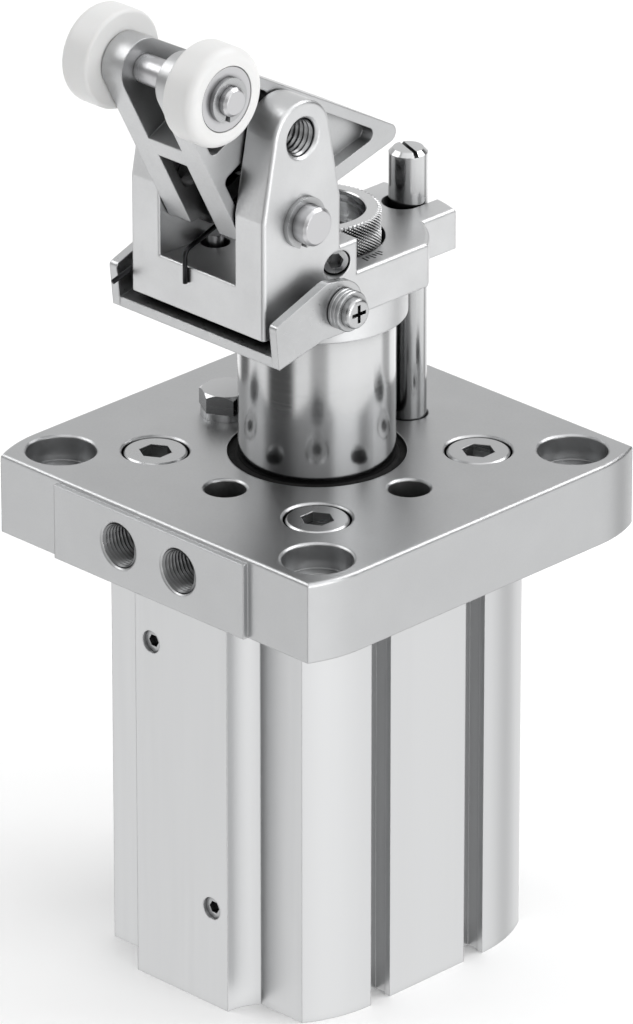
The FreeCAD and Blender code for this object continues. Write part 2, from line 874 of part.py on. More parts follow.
def make_end_cap():
    outer = d.bore_radius - d.fit
    groove_low = cap_top - d.cap_ring_drop
    groove_high = groove_low + d.ring_section + d.play * 2
    groove = d.bore_radius - d.ring_section
    keep(turned("end_cap", [
        (0, cap_bottom + d.end_cap_recess_depth),
        (d.end_cap_recess_radius, cap_bottom + d.end_cap_recess_depth),
        (d.end_cap_recess_radius + 1, cap_bottom),
        (outer, cap_bottom),
        (outer, groove_low),
        (groove, groove_low),
        (groove, groove_high),
        (outer, groove_high),
        (outer, cap_top),
        (0, cap_top),
    ]), "end_cap")
    outer = d.bore_radius + d.cap_ring_bite - d.fit
    ring = turned("end_cap_ring", ring_section(
        outer - d.cap_ring_width, outer, d.cap_ring_height, cap_bottom), angle=330.0)
    keep(ring, "end_cap_ring")


def make_bumpers():
    upper = ring_section(d.upper_bumper_inner, d.upper_bumper_outer,
                         spigot_bottom - d.upper_bumper_height, spigot_bottom)
    keep(turned("upper_bumper", upper), "upper_bumper")
    lower = ring_section(d.thread_end_radius + d.lower_bumper_clearance, d.lower_bumper_outer,
                         cap_top, cap_top + d.lower_bumper_height)
    keep(turned("lower_bumper", lower), "lower_bumper")


def make_channel_plugs():
    plugs = []
    for x, height in ((-port_x, d.upper_cross_height), (port_x, d.lower_cross_height)):
        body = turned("channel_plug", [
            (0, 0),
            (d.plug_radius, 0),
            (d.plug_radius, d.plug_length),
            (0, d.plug_length),
        ])
        sketch = new_sketch(body, height=d.plug_length)
        hexagon(sketch, 0, 0, d.plug_radius)
        pocket(body, sketch, d.plug_length / 2)
        back = -d.panel_front + d.plug_recess + d.plug_length
        place(body, (x, back, height), (1, 0, 0), 90.0)
        plugs.append(body)
    group("channel_plugs", plugs)


def make_guide_rod():
    bottom = flange_top - d.spare_hole_depth
    top = bottom + d.guide_rod_length
    bevel = d.guide_rod_chamfer
    body = turned("guide_rod", [
        (0, bottom),
        (d.guide_rod_radius, bottom),
        (d.guide_rod_radius, top - bevel),
        (d.guide_rod_radius - bevel, top),
        (0, top),
    ])
    sketch = new_sketch(body, height=top)
    half = d.guide_slot_width / 2
    rectangle(sketch, -d.guide_rod_radius - 1, d.guide_rod_radius + 1, -half, half)
    pocket(body, sketch, d.guide_slot_depth)
    place(body, (0, d.guide_circle, 0), angle=d.guide_slot_turn)
    keep(body, "guide_rod")


def make_hex_bolt():
    seat = flange_top + d.spring_washer_height
    top = seat + d.bolt_head_height
    body = turned("hex_bolt", [
        (0, flange_top - d.bolt_reach),
        (d.bolt_radius, flange_top - d.bolt_reach),
        (d.bolt_radius, seat + 1),
        (0, seat + 1),
    ])
    sketch = new_sketch(body, height=seat)
    hexagon(sketch, 0, 0, d.bolt_across_flats, 30.0)
    pad(body, sketch, d.bolt_head_height)
    corner = d.bolt_across_flats * HEX_CORNER
    flat = d.bolt_across_flats / 2
    bevel = corner - flat
    turn(body, [
        (flat, top),
        (corner + 1, top - bevel - 1),
        (corner + 1, top),
    ], "Groove")
    place(body, (-d.guide_circle, 0, 0))
    keep(body, "hex_bolt")
    washer = turned("hex_bolt_washer", ring_section(
        d.bolt_radius + d.fit, d.spring_washer_radius, flange_top, seat), angle=354.0)
    place(washer, (-d.guide_circle, 0, 0))
    keep(washer, "hex_bolt_washer")


def make_piston_rod():
    keep(turned("piston_rod", [
        (0, rod_bottom),
        (d.thread_end_radius - 1, rod_bottom),
        (d.thread_end_radius, rod_bottom + 1),
        (d.thread_end_radius, piston_top),
        (d.rod_radius, piston_top),
        (d.rod_radius, rod_top),
        (d.rod_bore_radius, rod_top),
        (d.rod_bore_radius, damper_bottom),
        (0, damper_bottom),
    ]), "piston_rod")


def make_piston():
    inner = d.thread_end_radius + d.fit
    outer = d.bore_radius - d.play
    groove = d.bore_radius - d.piston_seal_depth
    pocket_radius = d.bore_radius - d.magnet_depth
    low_seal = piston_bottom + d.piston_seal_edge
    high_seal = piston_top - d.piston_seal_edge
    middle = (piston_top + piston_bottom) / 2
    magnet_low = middle - d.magnet_height / 2
    magnet_high = middle + d.magnet_height / 2
    keep(turned("piston", [
        (inner, piston_bottom),
        (outer, piston_bottom),
        (outer, low_seal),
        (groove, low_seal),
        (groove, low_seal + d.piston_seal_height),
        (outer, low_seal + d.piston_seal_height),
        (outer, magnet_low),
        (pocket_radius, magnet_low),
        (pocket_radius, magnet_high),
        (outer, magnet_high),
        (outer, high_seal - d.piston_seal_height),
        (groove, high_seal - d.piston_seal_height),
        (groove, high_seal),
        (outer, high_seal),
        (outer, piston_top),
        (inner, piston_top),
    ]), "piston")
    keep(turned("piston_magnet", ring_section(
        pocket_radius + d.fit, outer - d.fit,
        magnet_low + d.fit, magnet_high - d.fit)), "piston_magnet")

    seals = []
    outer = d.bore_radius - d.fit
    for low in (low_seal, high_seal - d.piston_seal_height):
        lower, upper = low + d.fit, low + d.piston_seal_height - d.fit
        notch = d.piston_seal_height / 4
        seals.append(turned("piston_seal", [
            (groove + d.fit, lower),
            (outer - notch, lower),
            (outer, lower + notch),
            (outer, upper - notch),
            (outer - notch, upper),
            (groove + d.fit, upper),
        ]))
    group("piston_seals", seals)


def make_piston_nut():
    body = turned("piston_nut", ring_section(
        d.thread_end_radius + d.fit, d.nut_radius, nut_bottom, piston_bottom))
    sketch = new_sketch(body, height=nut_bottom)
    half = d.nut_notch / 2
    reach = d.nut_radius - half
    outside = d.nut_radius + 1
    for sign in (1, -1):
        low, high = sorted((sign * reach, sign * outside), key=lambda s: s.value)
        rectangle(sketch, low, high, -half, half)
        rectangle(sketch, -half, half, low, high)
    pocket(body, sketch, d.nut_height / 2, flipped=True)
    keep(body, "piston_nut")


def make_head():
    body = new_body("head")
    hw, front = d.head_half_width, d.head_front
    sketch = new_sketch(body, height=block_bottom)
    side = root(d.head_back_radius * d.head_back_radius - hw * hw)
    back = d.head_back_radius
    outline(sketch, [
        (-hw, -front),
        (hw, -front),
        (hw, side),
        (0, back, back),
        (-hw, side, back),
    ])
    pad(body, sketch, d.block_height)

    # Forked tab that runs along the guide rod
    sketch = new_sketch(body, height=block_bottom + d.tab_bottom_rise)
    tab, end = d.tab_half_width, d.tab_end_radius
    tab_side = root(end * end - tab * tab)
    outline(sketch, [
        (-tab, 0),
        (tab, 0),
        (tab, tab_side),
        (-tab, tab_side, end),
    ])
    pad(body, sketch, d.block_height - d.tab_bottom_rise)

    # Raised floor and cheeks in front of the adjusting ring
    sketch = new_sketch(body, height=deck)
    rectangle(sketch, -hw, hw, -front, -d.ledge_end)
    pad(body, sketch, d.ledge_rise)

    sketch = new_sketch(body, height=collar_bottom)
    circle(sketch, 0, 0, d.collar_radius)
    pad(body, sketch, d.collar_height + 1)

    # Ears, tapered from a kink beside the pivot to a round top about the threaded hole
    sketch = new_sketch(body, "YZ_Plane")
    kink = pivot_z + d.ear_kink_rise
    belt(sketch, [
        (-front, ledge - 1, 0),
        (-d.ear_rear, ledge - 1, 0),
        (-d.ear_rear, kink, 0),
        (pivot_y, pivot_z + d.ear_thread_rise, d.ear_top_radius),
        (-front, kink, 0),
    ])
    pad(body, sketch, 2 * hw, both_ways=True)

    # The gap between the ears, down to the floor
    sketch = new_sketch(body, "XZ_Plane")
    rectangle(sketch, -ear_inner, ear_inner, floor, floor + FAR)
    pocket(body, sketch, FAR, both_ways=True)

    # Rounds along the outer edges of ears, cheeks and deck, finer ones along the gap
    top, wide, narrow = deck.value, hw.value, ear_inner.value

    def outer_edge(edge):
        box = edge.BoundBox
        on_side = abs(abs(box.Center.x) - wide) < 1e-4 and box.XLength < 1e-4
        if on_side and box.ZMax > top + 1e-3:
            return True
        return at_height(edge, top) and box.Center.y > 0

    def gap_edge(edge):
        box = edge.BoundBox
        beside_gap = abs(abs(box.Center.x) - narrow) < 1e-4 and box.XLength < 1e-4
        if beside_gap:
            return box.ZLength > 1e-3
        return at_height(edge, floor.value) and box.YLength < 1e-4 and box.Center.y < -20

    dress(body, "Fillet", d.head_edge_round, outer_edge)
    dress(body, "Fillet", d.head_inner_round, gap_edge)

    # Ring recess, damper bore and the socket of the piston rod
    turn(body, [
        (0, collar_bottom - 1),
        (d.rod_radius + d.fit, collar_bottom - 1),
        (d.rod_radius + d.fit, rod_top),
        (d.rod_bore_radius, rod_top),
        (d.rod_bore_radius, recess_floor),
        (d.ring_recess_radius, recess_floor),
        (d.ring_recess_radius, ledge + 1),
        (0, ledge + 1),
    ], "Groove")

    # Slot for the guide rod, open to the back
    sketch = new_sketch(body, height=deck)
    radius = d.guide_slot_radius
    circle(sketch, 0, d.guide_slot_centre, radius)
    pocket(body, sketch, d.block_height)
    sketch = new_sketch(body, height=deck)
    rectangle(sketch, -radius, radius, d.guide_slot_centre, end + 1)
    pocket(body, sketch, d.block_height)

    # Relief under the front, where the stirrup's plate lies
    sketch = new_sketch(body, height=block_bottom)
    rectangle(sketch, -hw - 1, hw + 1, -front - 1, -d.front_relief_end)
    pocket(body, sketch, d.front_relief_height, flipped=True)

    # Cross holes: pivot pin, threads in the ears, screws of the stirrup
    sketch = new_sketch(body, "YZ_Plane")
    circle(sketch, pivot_y, pivot_z, d.pin_radius + d.fit)
    circle(sketch, pivot_y, pivot_z + d.ear_thread_rise, d.ear_thread_radius)
    pocket(body, sketch, 2 * hw, both_ways=True)
    for flipped in (False, True):
        height = -hw if flipped else hw
        sketch = new_sketch(body, "YZ_Plane", height)
        circle(sketch, stirrup_y, stirrup_z, d.stirrup_screw_radius + d.fit)
        pocket(body, sketch, d.stirrup_screw_reach, flipped=flipped)

    # Radial hole for the ring's set screw and the hole of the catch pin in the floor
    hole = body.newObject("PartDesign::SubtractiveCylinder", "set_screw_hole")
    bind(hole, "Radius", d.set_screw_radius + d.fit)
    bind(hole, "Height", set_screw_mouth + d.set_screw_radius)
    hole.AttachmentSupport = [(own_plane(body, "XY_Plane"), "")]
    hole.MapMode = "FlatFace"
    hole.AttachmentOffset = FreeCAD.Placement(
        FreeCAD.Vector(0, 0, set_screw_z.value), set_screw_rotation())
    bind(hole, "AttachmentOffset.Base.z", set_screw_z)
    doc.recompute()
    sketch = new_sketch(body, height=floor)
    circle(sketch, d.catch_pin_x, -d.catch_pin_forward, d.catch_pin_hole_radius)
    pocket(body, sketch, d.catch_pin_hole_depth)

    def side_mouth(edge):
        box = edge.BoundBox
        on_side = abs(abs(box.XMin) - wide) < 1e-4 and box.XLength < 1e-4
        if not on_side or not isinstance(edge.Curve, Part.Circle):
            return False
        return abs(edge.Curve.Radius - d.ear_thread_radius.value) < 1e-6

    dress(body, "Chamfer", d.ear_thread_chamfer, side_mouth)
    keep(body, "head")


def set_screw_rotation():
    """Turns the Z axis to the line from the ring's axis through the screw's mouth."""
    outward = FreeCAD.Vector(d.head_half_width.value, -d.set_screw_forward.value, 0)
    return FreeCAD.Rotation(FreeCAD.Vector(0, 0, 1), outward)


def snap_ring(label, inner, outer, low, high):
    """A ring with an opening."""
    return turned(label, ring_section(inner, outer, low, high), angle=360 - d.snap_ring_opening)


def make_pivot_pin():
    half, bevel = d.pin_half_length, d.pin_chamfer
    body = turned("pivot_pin", [
        (0, -half),
        (d.pin_radius - bevel, -half),
        (d.pin_radius, -half + bevel),
        (d.pin_radius, half - bevel),
        (d.pin_radius - bevel, half),
        (0, half),
    ])
    place(body, (0, pivot_y, pivot_z), (0, 1, 0), 90.0)
    keep(body, "pivot_pin")
    ring = snap_ring("pivot_pin_ring", d.pin_radius + d.fit, d.pin_ring_radius,
                     d.head_half_width + d.fit, d.head_half_width + d.pin_ring_thickness)
    place(ring, (0, pivot_y, pivot_z), (0, 1, 0), 90.0)
    group("pivot_pin_rings", mirrored(ring, (1, 0, 0)))


def make_lever():
    body = new_body("lever")
    half = lever_half
    boss = (d.axle_boss_radius - d.lever_front, d.axle_height, d.axle_boss_radius)
    tip = (d.arm_reach, -d.arm_drop, d.arm_tip_radius)
    sketch = new_sketch(body, "YZ_Plane")
    belt(sketch, [
        (-d.lever_front, 0, 0),
        (0, -d.arm_under_pivot, 0),
        tip,
        boss,
    ])
    pad(body, sketch, d.lever_width, both_ways=True)

    # Fork for the axle above, slot for the spring below
    sketch = new_sketch(body, "YZ_Plane")
    rectangle(sketch, -FAR, FAR, d.fork_floor, FAR)
    pocket(body, sketch, d.fork_gap, both_ways=True)
    sketch = new_sketch(body, "YZ_Plane")
    rectangle(sketch, -FAR, d.leg_gap_back, -FAR, d.leg_gap_top)
    pocket(body, sketch, d.leg_gap, both_ways=True)

    # Weight-saving pockets on both sides, with a rib between them
    r = d.pocket_corner
    span_y = tip[0] - boss[0]
    span_z = tip[1] - boss[1]
    span = root(span_y * span_y + span_z * span_z)
    lean = (boss[2] - tip[2]) / span
    upright = root(1 - lean * lean)
    normal_y = span_y / span * lean - span_z / span * upright
    normal_z = span_z / span * lean + span_y / span * upright
    inset = d.lever_rim + r

    def beside_back(height):
        """Depth of a corner disc that keeps the rim from the sloping back edge."""
        reach = normal_y * boss[0] + normal_z * boss[1] + boss[2] - inset
        return (reach - normal_z * height) / normal_y

    left = inset - d.lever_front
    low = d.rib_top + r
    high = d.axle_height - d.axle_boss_radius - inset
    sides = []
    sketch = new_sketch(body, "YZ_Plane", half)
    belt(sketch, [
        (left, low, r),
        (beside_back(low), low, r),
        (beside_back(high), high, r),
        (left, high, r),
    ])
    sides.append(pocket(body, sketch, d.pocket_depth))

    high = d.rib_bottom - r
    tip_low = tip[1] + d.arm_tip_radius * 2
    slope = (d.arm_drop - d.arm_under_pivot) / d.arm_reach
    sketch = new_sketch(body, "YZ_Plane", half)
    belt(sketch, [
        (left, d.rib_bottom - d.pivot_boss_radius, r),
        (d.pivot_boss_radius + inset, -slope * (d.pivot_boss_radius + inset), r),
        (beside_back(tip_low), tip_low, r),
        (beside_back(high), high, r),
        (left, high, r),
    ])
    sides.append(pocket(body, sketch, d.pocket_depth))
    sketch = new_sketch(body, "YZ_Plane", half)
    belt(sketch, [
        (left, d.pivot_boss_radius + r, r),
        (d.leg_gap_back - inset, d.pivot_boss_radius + r, r),
        (d.leg_gap_back - inset, high, r),
        (left, high, r),
    ])
    sides.append(pocket(body, sketch, half - d.leg_gap / 2))
    mirror = body.newObject("PartDesign::Mirrored", "lever_mirror")
    mirror.Originals = sides
    mirror.MirrorPlane = (own_plane(body, "YZ_Plane"), [""])
    body.Tip = mirror
    doc.recompute()

    # Boss round the pivot pin on each side, up to the lever's full width
    ring_depth = half - d.leg_gap / 2
    for sign in (1, -1):
        sketch = new_sketch(body, "YZ_Plane", sign * half)
        circle(sketch, 0, 0, d.pivot_boss_radius)
        pad(body, sketch, ring_depth, flipped=sign > 0)

    sketch = new_sketch(body, "YZ_Plane")
    circle(sketch, 0, 0, d.pin_radius + d.fit)
    circle(sketch, boss[0], boss[1], d.axle_radius + d.fit)
    pocket(body, sketch, d.lever_width, both_ways=True)
    place(body, (0, pivot_y, pivot_z), (1, 0, 0), d.lever_tilt)
    keep(body, "lever")


def lever_point(back, up):
    """A point of the lever's own frame, in the frame of the whole."""
    s, c = sine(d.lever_tilt), cosine(d.lever_tilt)
    return pivot_y + back * c - up * s, pivot_z + back * s + up * c


def make_rollers():
    axle_y, axle_z = lever_point(d.axle_boss_radius - d.lever_front, d.axle_height)
    at = (0, axle_y, axle_z)
    half, bevel = d.axle_half_length, d.pin_chamfer
    body = turned("roller_axle", [
        (0, -half),
        (d.axle_radius - bevel, -half),
        (d.axle_radius, -half + bevel),
        (d.axle_radius, half - bevel),
        (d.axle_radius - bevel, half),
        (0, half),
    ])
    keep(place(body, at, (0, 1, 0), 90.0), "roller_axle")

    near = lever_half + d.roller_side_gap
    far = near + d.roller_width
    seat = far - d.roller_recess_depth
    bore = d.axle_radius + d.fit
    big, little = d.roller_outer_round, d.roller_inner_round
    for label, angle in (("roller_right", 90.0), ("roller_left", -90.0)):
        body = turned(label, [
            (bore, near),
            (d.roller_radius - little, near),
            (d.roller_radius, near + little, little),
            (d.roller_radius, far - big),
            (d.roller_radius - big, far, big),
            (d.roller_recess_radius, far),
            (d.roller_recess_radius, seat),
            (bore, seat),
        ])
        keep(place(body, at, (0, 1, 0), angle), label)

    inner = d.axle_radius + d.fit
    washer_far = seat + d.play + d.roller_washer_thickness
    washer = turned("roller_washer", ring_section(
        inner, d.roller_washer_radius, seat + d.play, washer_far))
    place(washer, at, (0, 1, 0), 90.0)
    group("roller_washers", mirrored(washer, (1, 0, 0)))
    ring = snap_ring("axle_ring", inner, d.axle_ring_radius,
                     washer_far + d.fit, washer_far + d.axle_ring_thickness)
    place(ring, at, (0, 1, 0), 90.0)
    group("axle_rings", mirrored(ring, (1, 0, 0)))


def make_damper():
    inner = d.damper_radius - d.damper_wall
    neck = damper_top - d.damper_neck
    foot = damper_bottom + d.damper_foot
    hole = d.plunger_radius + d.fit
    keep(turned("damper_body", [
        (0, damper_bottom),
        (d.damper_radius, damper_bottom),
        (d.damper_radius, damper_top - d.hole_chamfer),
        (d.damper_radius - d.hole_chamfer, damper_top),
        (hole, damper_top),
        (hole, neck),
        (inner, neck),
        (inner, foot),
        (0, foot),
    ]), "damper_body")

    # The ball end stands just under the lever's arm
    s, c = sine(d.lever_tilt), cosine(d.lever_tilt)
    drop = d.arm_drop + d.arm_tip_radius - d.arm_under_pivot
    under_y, under_z = lever_point(0, -d.arm_under_pivot)
    far_y, far_z = lever_point(d.arm_reach, -d.arm_under_pivot - drop)
    rise = (far_z - under_z) / (far_y - under_y)
    contact = under_z - rise * under_y
    ball = d.plunger_ball_radius
    centre = contact - (ball + d.plunger_ball_gap) * root(1 + rise * rise)
    shank = root(ball * ball - d.plunger_radius * d.plunger_radius)
    head_low = damper_top - d.plunger_piston_drop
    head_high = head_low + d.plunger_piston_height
    keep(turned("damper_plunger", [
        (0, head_low),
        (inner - d.play, head_low),
        (inner - d.play, head_high),
        (d.plunger_radius, head_high),
        (d.plunger_radius, centre - shank),
        (ball, centre, ball),
        (0, centre + ball, ball),
    ]), "damper_plunger")

    inner = d.damper_radius + d.play
    low, top = recess_floor + d.play, deck + d.adjuster_rise
    bevel = d.adjuster_chamfer
    keep(turned("damping_ring", [
        (inner, low),
        (d.adjuster_radius, low),
        (d.adjuster_radius, top - bevel),
        (d.adjuster_radius - bevel, top),
        (inner + bevel, top),
        (inner, top - bevel),
    ]), "damping_ring")


def make_stirrup():
    body = new_body("stirrup")
    base_low = stirrup_z - d.stirrup_base_drop
    reach = d.stirrup_front - d.stirrup_pivot_forward
    rear = -d.stirrup_front + d.stirrup_plate_depth
    rear_low = base_low + d.stirrup_plate_rise
    corner = d.stirrup_sheet / 2
    slope = d.stirrup_plate_rise / d.stirrup_plate_depth
    bend_y = stirrup_y - reach / 3
    bend_low = base_low + slope * reach * 2 / 3
    sketch = new_sketch(body, "YZ_Plane", arm_inner)
    belt(sketch, [
        (-d.stirrup_front, base_low, 0),
        (bend_y, bend_low, 0),
        (stirrup_y, stirrup_z, d.stirrup_end_radius),
        (stirrup_y - d.stirrup_sheet * 1.85, stirrup_z + d.stirrup_sheet * 2, corner * 2.3),
        (-d.stirrup_lip + corner, stirrup_z + corner / 2, corner),
    ])
    arm = pad(body, sketch, d.stirrup_sheet)
    mirror = body.newObject("PartDesign::Mirrored", "stirrup_mirror")
    mirror.Originals = [arm]
    mirror.MirrorPlane = (own_plane(body, "YZ_Plane"), [""])
    body.Tip = mirror
    doc.recompute()

    # Cross plate under the head's front
    sketch = new_sketch(body, "YZ_Plane")
    outline(sketch, [
        (-d.stirrup_front, base_low),
        (rear, rear_low),
        (rear, rear_low + d.stirrup_sheet),
        (-d.stirrup_front, base_low + d.stirrup_sheet),
    ])
    pad(body, sketch, 2 * d.stirrup_half_width, both_ways=True)
    sketch = new_sketch(body, "YZ_Plane")
    circle(sketch, stirrup_y, stirrup_z, d.stirrup_screw_radius + d.fit)
    pocket(body, sketch, 2 * d.stirrup_half_width, both_ways=True)
    keep(body, "stirrup")


def make_stirrup_fasteners():
    at = (0, stirrup_y, stirrup_z)
    first = d.stirrup_half_width + d.fit
    step = d.stirrup_washer_thickness + d.fit
    seat = first + step * 3
    tip = d.head_half_width - d.stirrup_screw_reach
    top = seat + d.stirrup_screw_head_height
    head = d.stirrup_screw_head_radius
    body = turned("stirrup_screw", [
        (0, tip),
        (d.stirrup_screw_radius, tip),
        (d.stirrup_screw_radius, seat),
        (head, seat),
        (head, top - head / 4),
        (head - head / 4, top, head / 4),
        (0, top),
    ])
    sketch = new_sketch(body, height=top)
    half, reach = d.cross_recess_width / 2, head * 0.6
    outline(sketch, [
        (half, -half), (reach, -half), (reach, half), (half, half),
        (half, reach), (-half, reach), (-half, half), (-reach, half),
        (-reach, -half), (-half, -half), (-half, -reach), (half, -reach),
    ])
    pocket(body, sketch, d.cross_recess_depth)
    place(body, at, (0, 1, 0), 90.0)
    group("stirrup_screws", mirrored(body, (1, 0, 0)))

    inner = d.stirrup_screw_radius + d.fit
    bevel = d.play * 2
    washers = []
    for index in range(3):
        low = first + step * index
        high = low + d.stirrup_washer_thickness
        washer = turned("stirrup_washer", [
            (inner, low),
            (d.stirrup_washer_radius - bevel, low),
            (d.stirrup_washer_radius, low + bevel),
            (d.stirrup_washer_radius, high - bevel),
            (d.stirrup_washer_radius - bevel, high),
            (inner, high),
        ])
        place(washer, at, (0, 1, 0), 90.0)
        washers.extend(mirrored(washer, (1, 0, 0)))
    group("stirrup_washers", washers)
    spacer = turned("stirrup_spacer", ring_section(
        inner, d.stirrup_spacer_radius, d.head_half_width, arm_inner - d.fit))
    place(spacer, at, (0, 1, 0), 90.0)
    group("stirrup_spacers", mirrored(spacer, (1, 0, 0)))


def make_small_pins():
    far = set_screw_mouth - d.set_screw_sink
    near = d.adjuster_radius + d.play
    radius, point, bevel = d.set_screw_radius, d.set_screw_point, d.hole_chamfer
    body = turned("ring_set_screw", [
        (0, near),
        (radius - point, near),
        (radius, near + point),
        (radius, far - bevel),
        (radius - bevel, far),
        (0, far),
    ])
    sketch = new_sketch(body, height=far)
    hexagon(sketch, 0, 0, d.set_screw_key)
    pocket(body, sketch, d.set_screw_key_depth)
    rotation = set_screw_rotation()
    place(body, (0, 0, set_screw_z), rotation.Axis, math.degrees(rotation.Angle))
    keep(body, "ring_set_screw")

    pin = doc.addObject("Part::Cylinder", "catch_pin")
    bind(pin, "Radius", d.catch_pin_radius)
    bind(pin, "Height", d.catch_pin_hole_depth + d.catch_pin_proud)
    place(pin, (d.catch_pin_x, -d.catch_pin_forward, floor - d.catch_pin_hole_depth))
    keep(pin, "catch_pin")


def wire_along(points, radius, bend):
    """Round wire along straight runs joined by tangent arcs."""
    edges = []
    start = points[0]
    for here, after in zip(points[1:-1], points[2:]):
        before = (start - here).normalize()
        onward = (after - here).normalize()
        half = before.getAngle(onward) / 2.0
        cut = bend / math.tan(half)
        enter, leave = here + before * cut, here + onward * cut
        inward = (before + onward).normalize()
        middle = here + inward * (bend / math.sin(half) - bend)
        edges.append(Part.LineSegment(start, enter).toShape())
        edges.append(Part.Arc(enter, middle, leave).toShape())
        start = leave
    edges.append(Part.LineSegment(start, points[-1]).toShape())
    path = Part.Wire(edges)
    along = points[1] - points[0]
    profile = Part.Wire(Part.makeCircle(radius, points[0], along))
    return path.makePipeShell([profile], True, False)


def coil(radius, wire, pitch, turns):
    """Close-wound wire about the Z axis, as turns that touch in a stack of rings."""
    body = Part.makeTorus(radius, wire)
    for index in range(1, int(turns)):
        ring = Part.makeTorus(radius, wire)
        ring.translate(FreeCAD.Vector(0, 0, index * pitch))
        body = body.fuse(ring)
    return body


def spring(label, shape):
    item = doc.addObject("Part::Feature", label)
    item.Shape = shape
    keep(item, label)


def make_springs():
    wire, pitch = d.wire_radius.value, d.coil_pitch.value
    touching = min(pitch, wire * 1.9)
    centre = FreeCAD.Vector(0, pivot_y.value, pivot_z.value)
    radius = d.lever_coil_radius.value
    front = -d.head_front.value - wire - d.fit.value
    x = d.lever_leg_x.value

    # The leg leaves the coil below the pin, passes over the sill and turns down
    over_sill = floor.value + wire * 7.0
    corner = FreeCAD.Vector(x, front, over_sill)
    away = FreeCAD.Vector(0, corner.y - centre.y, corner.z - centre.z)
    swing = math.acos(radius / away.Length)
    heading = math.atan2(away.z, away.y) + swing
    touch = FreeCAD.Vector(x, centre.y + radius * math.cos(heading),
                           centre.z + radius * math.sin(heading))
    end = FreeCAD.Vector(x, front, deck.value + d.lever_leg_end_rise.value)
    leg = wire_along([touch, corner, end], wire, d.leg_bend_radius.value)
    rings = coil(radius, wire, touching, d.lever_coil_turns.value)
    rings.Placement = FreeCAD.Placement(
        FreeCAD.Vector(x, centre.y, centre.z), FreeCAD.Rotation(FreeCAD.Vector(0, 1, 0), 90))
    spring("lever_spring", rings.fuse(leg).removeSplitter())

    centre = FreeCAD.Vector(0, stirrup_y.value, stirrup_z.value)
    radius = d.stirrup_coil_radius.value
    middle = -(d.head_half_width.value + arm_inner.value) / 2.0
    slope = math.radians(d.stirrup_leg_slope.value)
    top = FreeCAD.Vector(middle, centre.y - radius * math.sin(slope),
                         centre.z + radius * math.cos(slope))
    along = FreeCAD.Vector(0, -math.cos(slope), -math.sin(slope))
    leg = wire_along([top, top + along * d.stirrup_leg_length.value], wire, wire * 2)
    rings = coil(radius, wire, touching, d.stirrup_coil_turns.value + 0.5)
    rings.Placement = FreeCAD.Placement(
        FreeCAD.Vector(middle - touching / 2.0, centre.y, centre.z),
        FreeCAD.Rotation(FreeCAD.Vector(0, 1, 0), 90))
    spring("stirrup_spring", rings.fuse(leg).removeSplitter())


def check_document():
    doc.recompute()
    for item in doc.Objects:
        if "Invalid" in item.State or "Error" in item.State:
            raise RuntimeError(f"{item.Label} failed: {item.State}")
    for item in parts:
        if item.Shape.isNull() or not item.Shape.isValid() or not item.Shape.Solids:
            raise RuntimeError(f"{item.Label} has no valid solid")


make_barrel()
make_mounting_flange()
make_flange_screws()
make_housing_rings()
make_end_cap()
make_bumpers()
make_channel_plugs()
make_guide_rod()
make_hex_bolt()
make_piston_rod()
make_piston()
make_piston_nut()
make_head()
make_pivot_pin()
make_lever()
make_rollers()
make_damper()
make_stirrup()
make_stirrup_fasteners()
make_small_pins()
make_springs()
check_document()

os.makedirs("parts", exist_ok=True)
for item in parts:
    item.Shape.exportStep(f"parts/{item.Label}.step")
    print(f"{item.Label}: {len(item.Shape.Solids)} solid, {item.Shape.Volume:.1f} mm3")
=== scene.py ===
import json
import math

import bpy
from mathutils import Matrix, Vector


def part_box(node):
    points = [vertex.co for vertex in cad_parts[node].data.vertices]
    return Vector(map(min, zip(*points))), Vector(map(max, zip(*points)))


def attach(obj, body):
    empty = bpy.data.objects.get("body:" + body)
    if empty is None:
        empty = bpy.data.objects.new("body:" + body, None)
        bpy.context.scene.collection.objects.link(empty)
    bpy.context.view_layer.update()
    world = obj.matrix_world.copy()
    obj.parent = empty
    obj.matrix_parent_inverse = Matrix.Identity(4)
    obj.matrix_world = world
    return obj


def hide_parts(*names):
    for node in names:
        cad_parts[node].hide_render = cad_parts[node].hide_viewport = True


# Looks of the stopper cylinder. Metres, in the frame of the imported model.

MM = 0.001

# The camera stands where the photograph was taken from
CAMERA_AZIMUTH = 44.855
CAMERA_ELEVATION = 24.868
CAMERA_DISTANCE = 1967.58 * MM
CAMERA_LENS = 340.68
CAMERA_SENSOR = 36.0
AIM_HEIGHT = 80.0 * MM
AIM_RIGHT = -0.092 * MM
AIM_UP = 13.455 * MM

# Places on the CAD model that the added pieces keep to
PORT_X = 8.5 * MM
PORT_FACE = -47.35 * MM
PORT_HEIGHT = 100.2 * MM
EAR_FACE = 18.15 * MM
EAR_THREAD_HEIGHT = 189.0 * MM
PIVOT_Y = -22.75 * MM
PIVOT_HEIGHT = 171.3 * MM
DECK = 155.8 * MM

LIGHT_TARGET = Vector((0.0, 0.0, 0.12))
FLOOR_SIZE = 12.0
WORLD_STRENGTH = 0.62
WORLD_BRIGHTNESS = 1.92
TURN = 2.0 * math.pi

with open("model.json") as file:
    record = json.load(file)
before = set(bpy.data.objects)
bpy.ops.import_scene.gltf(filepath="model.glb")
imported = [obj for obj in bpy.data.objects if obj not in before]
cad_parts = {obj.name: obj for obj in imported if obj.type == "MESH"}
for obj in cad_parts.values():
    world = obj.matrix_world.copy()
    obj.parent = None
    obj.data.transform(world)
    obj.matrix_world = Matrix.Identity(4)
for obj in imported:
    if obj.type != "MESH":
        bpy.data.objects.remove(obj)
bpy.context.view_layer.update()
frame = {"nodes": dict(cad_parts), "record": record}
nodes = frame["nodes"]


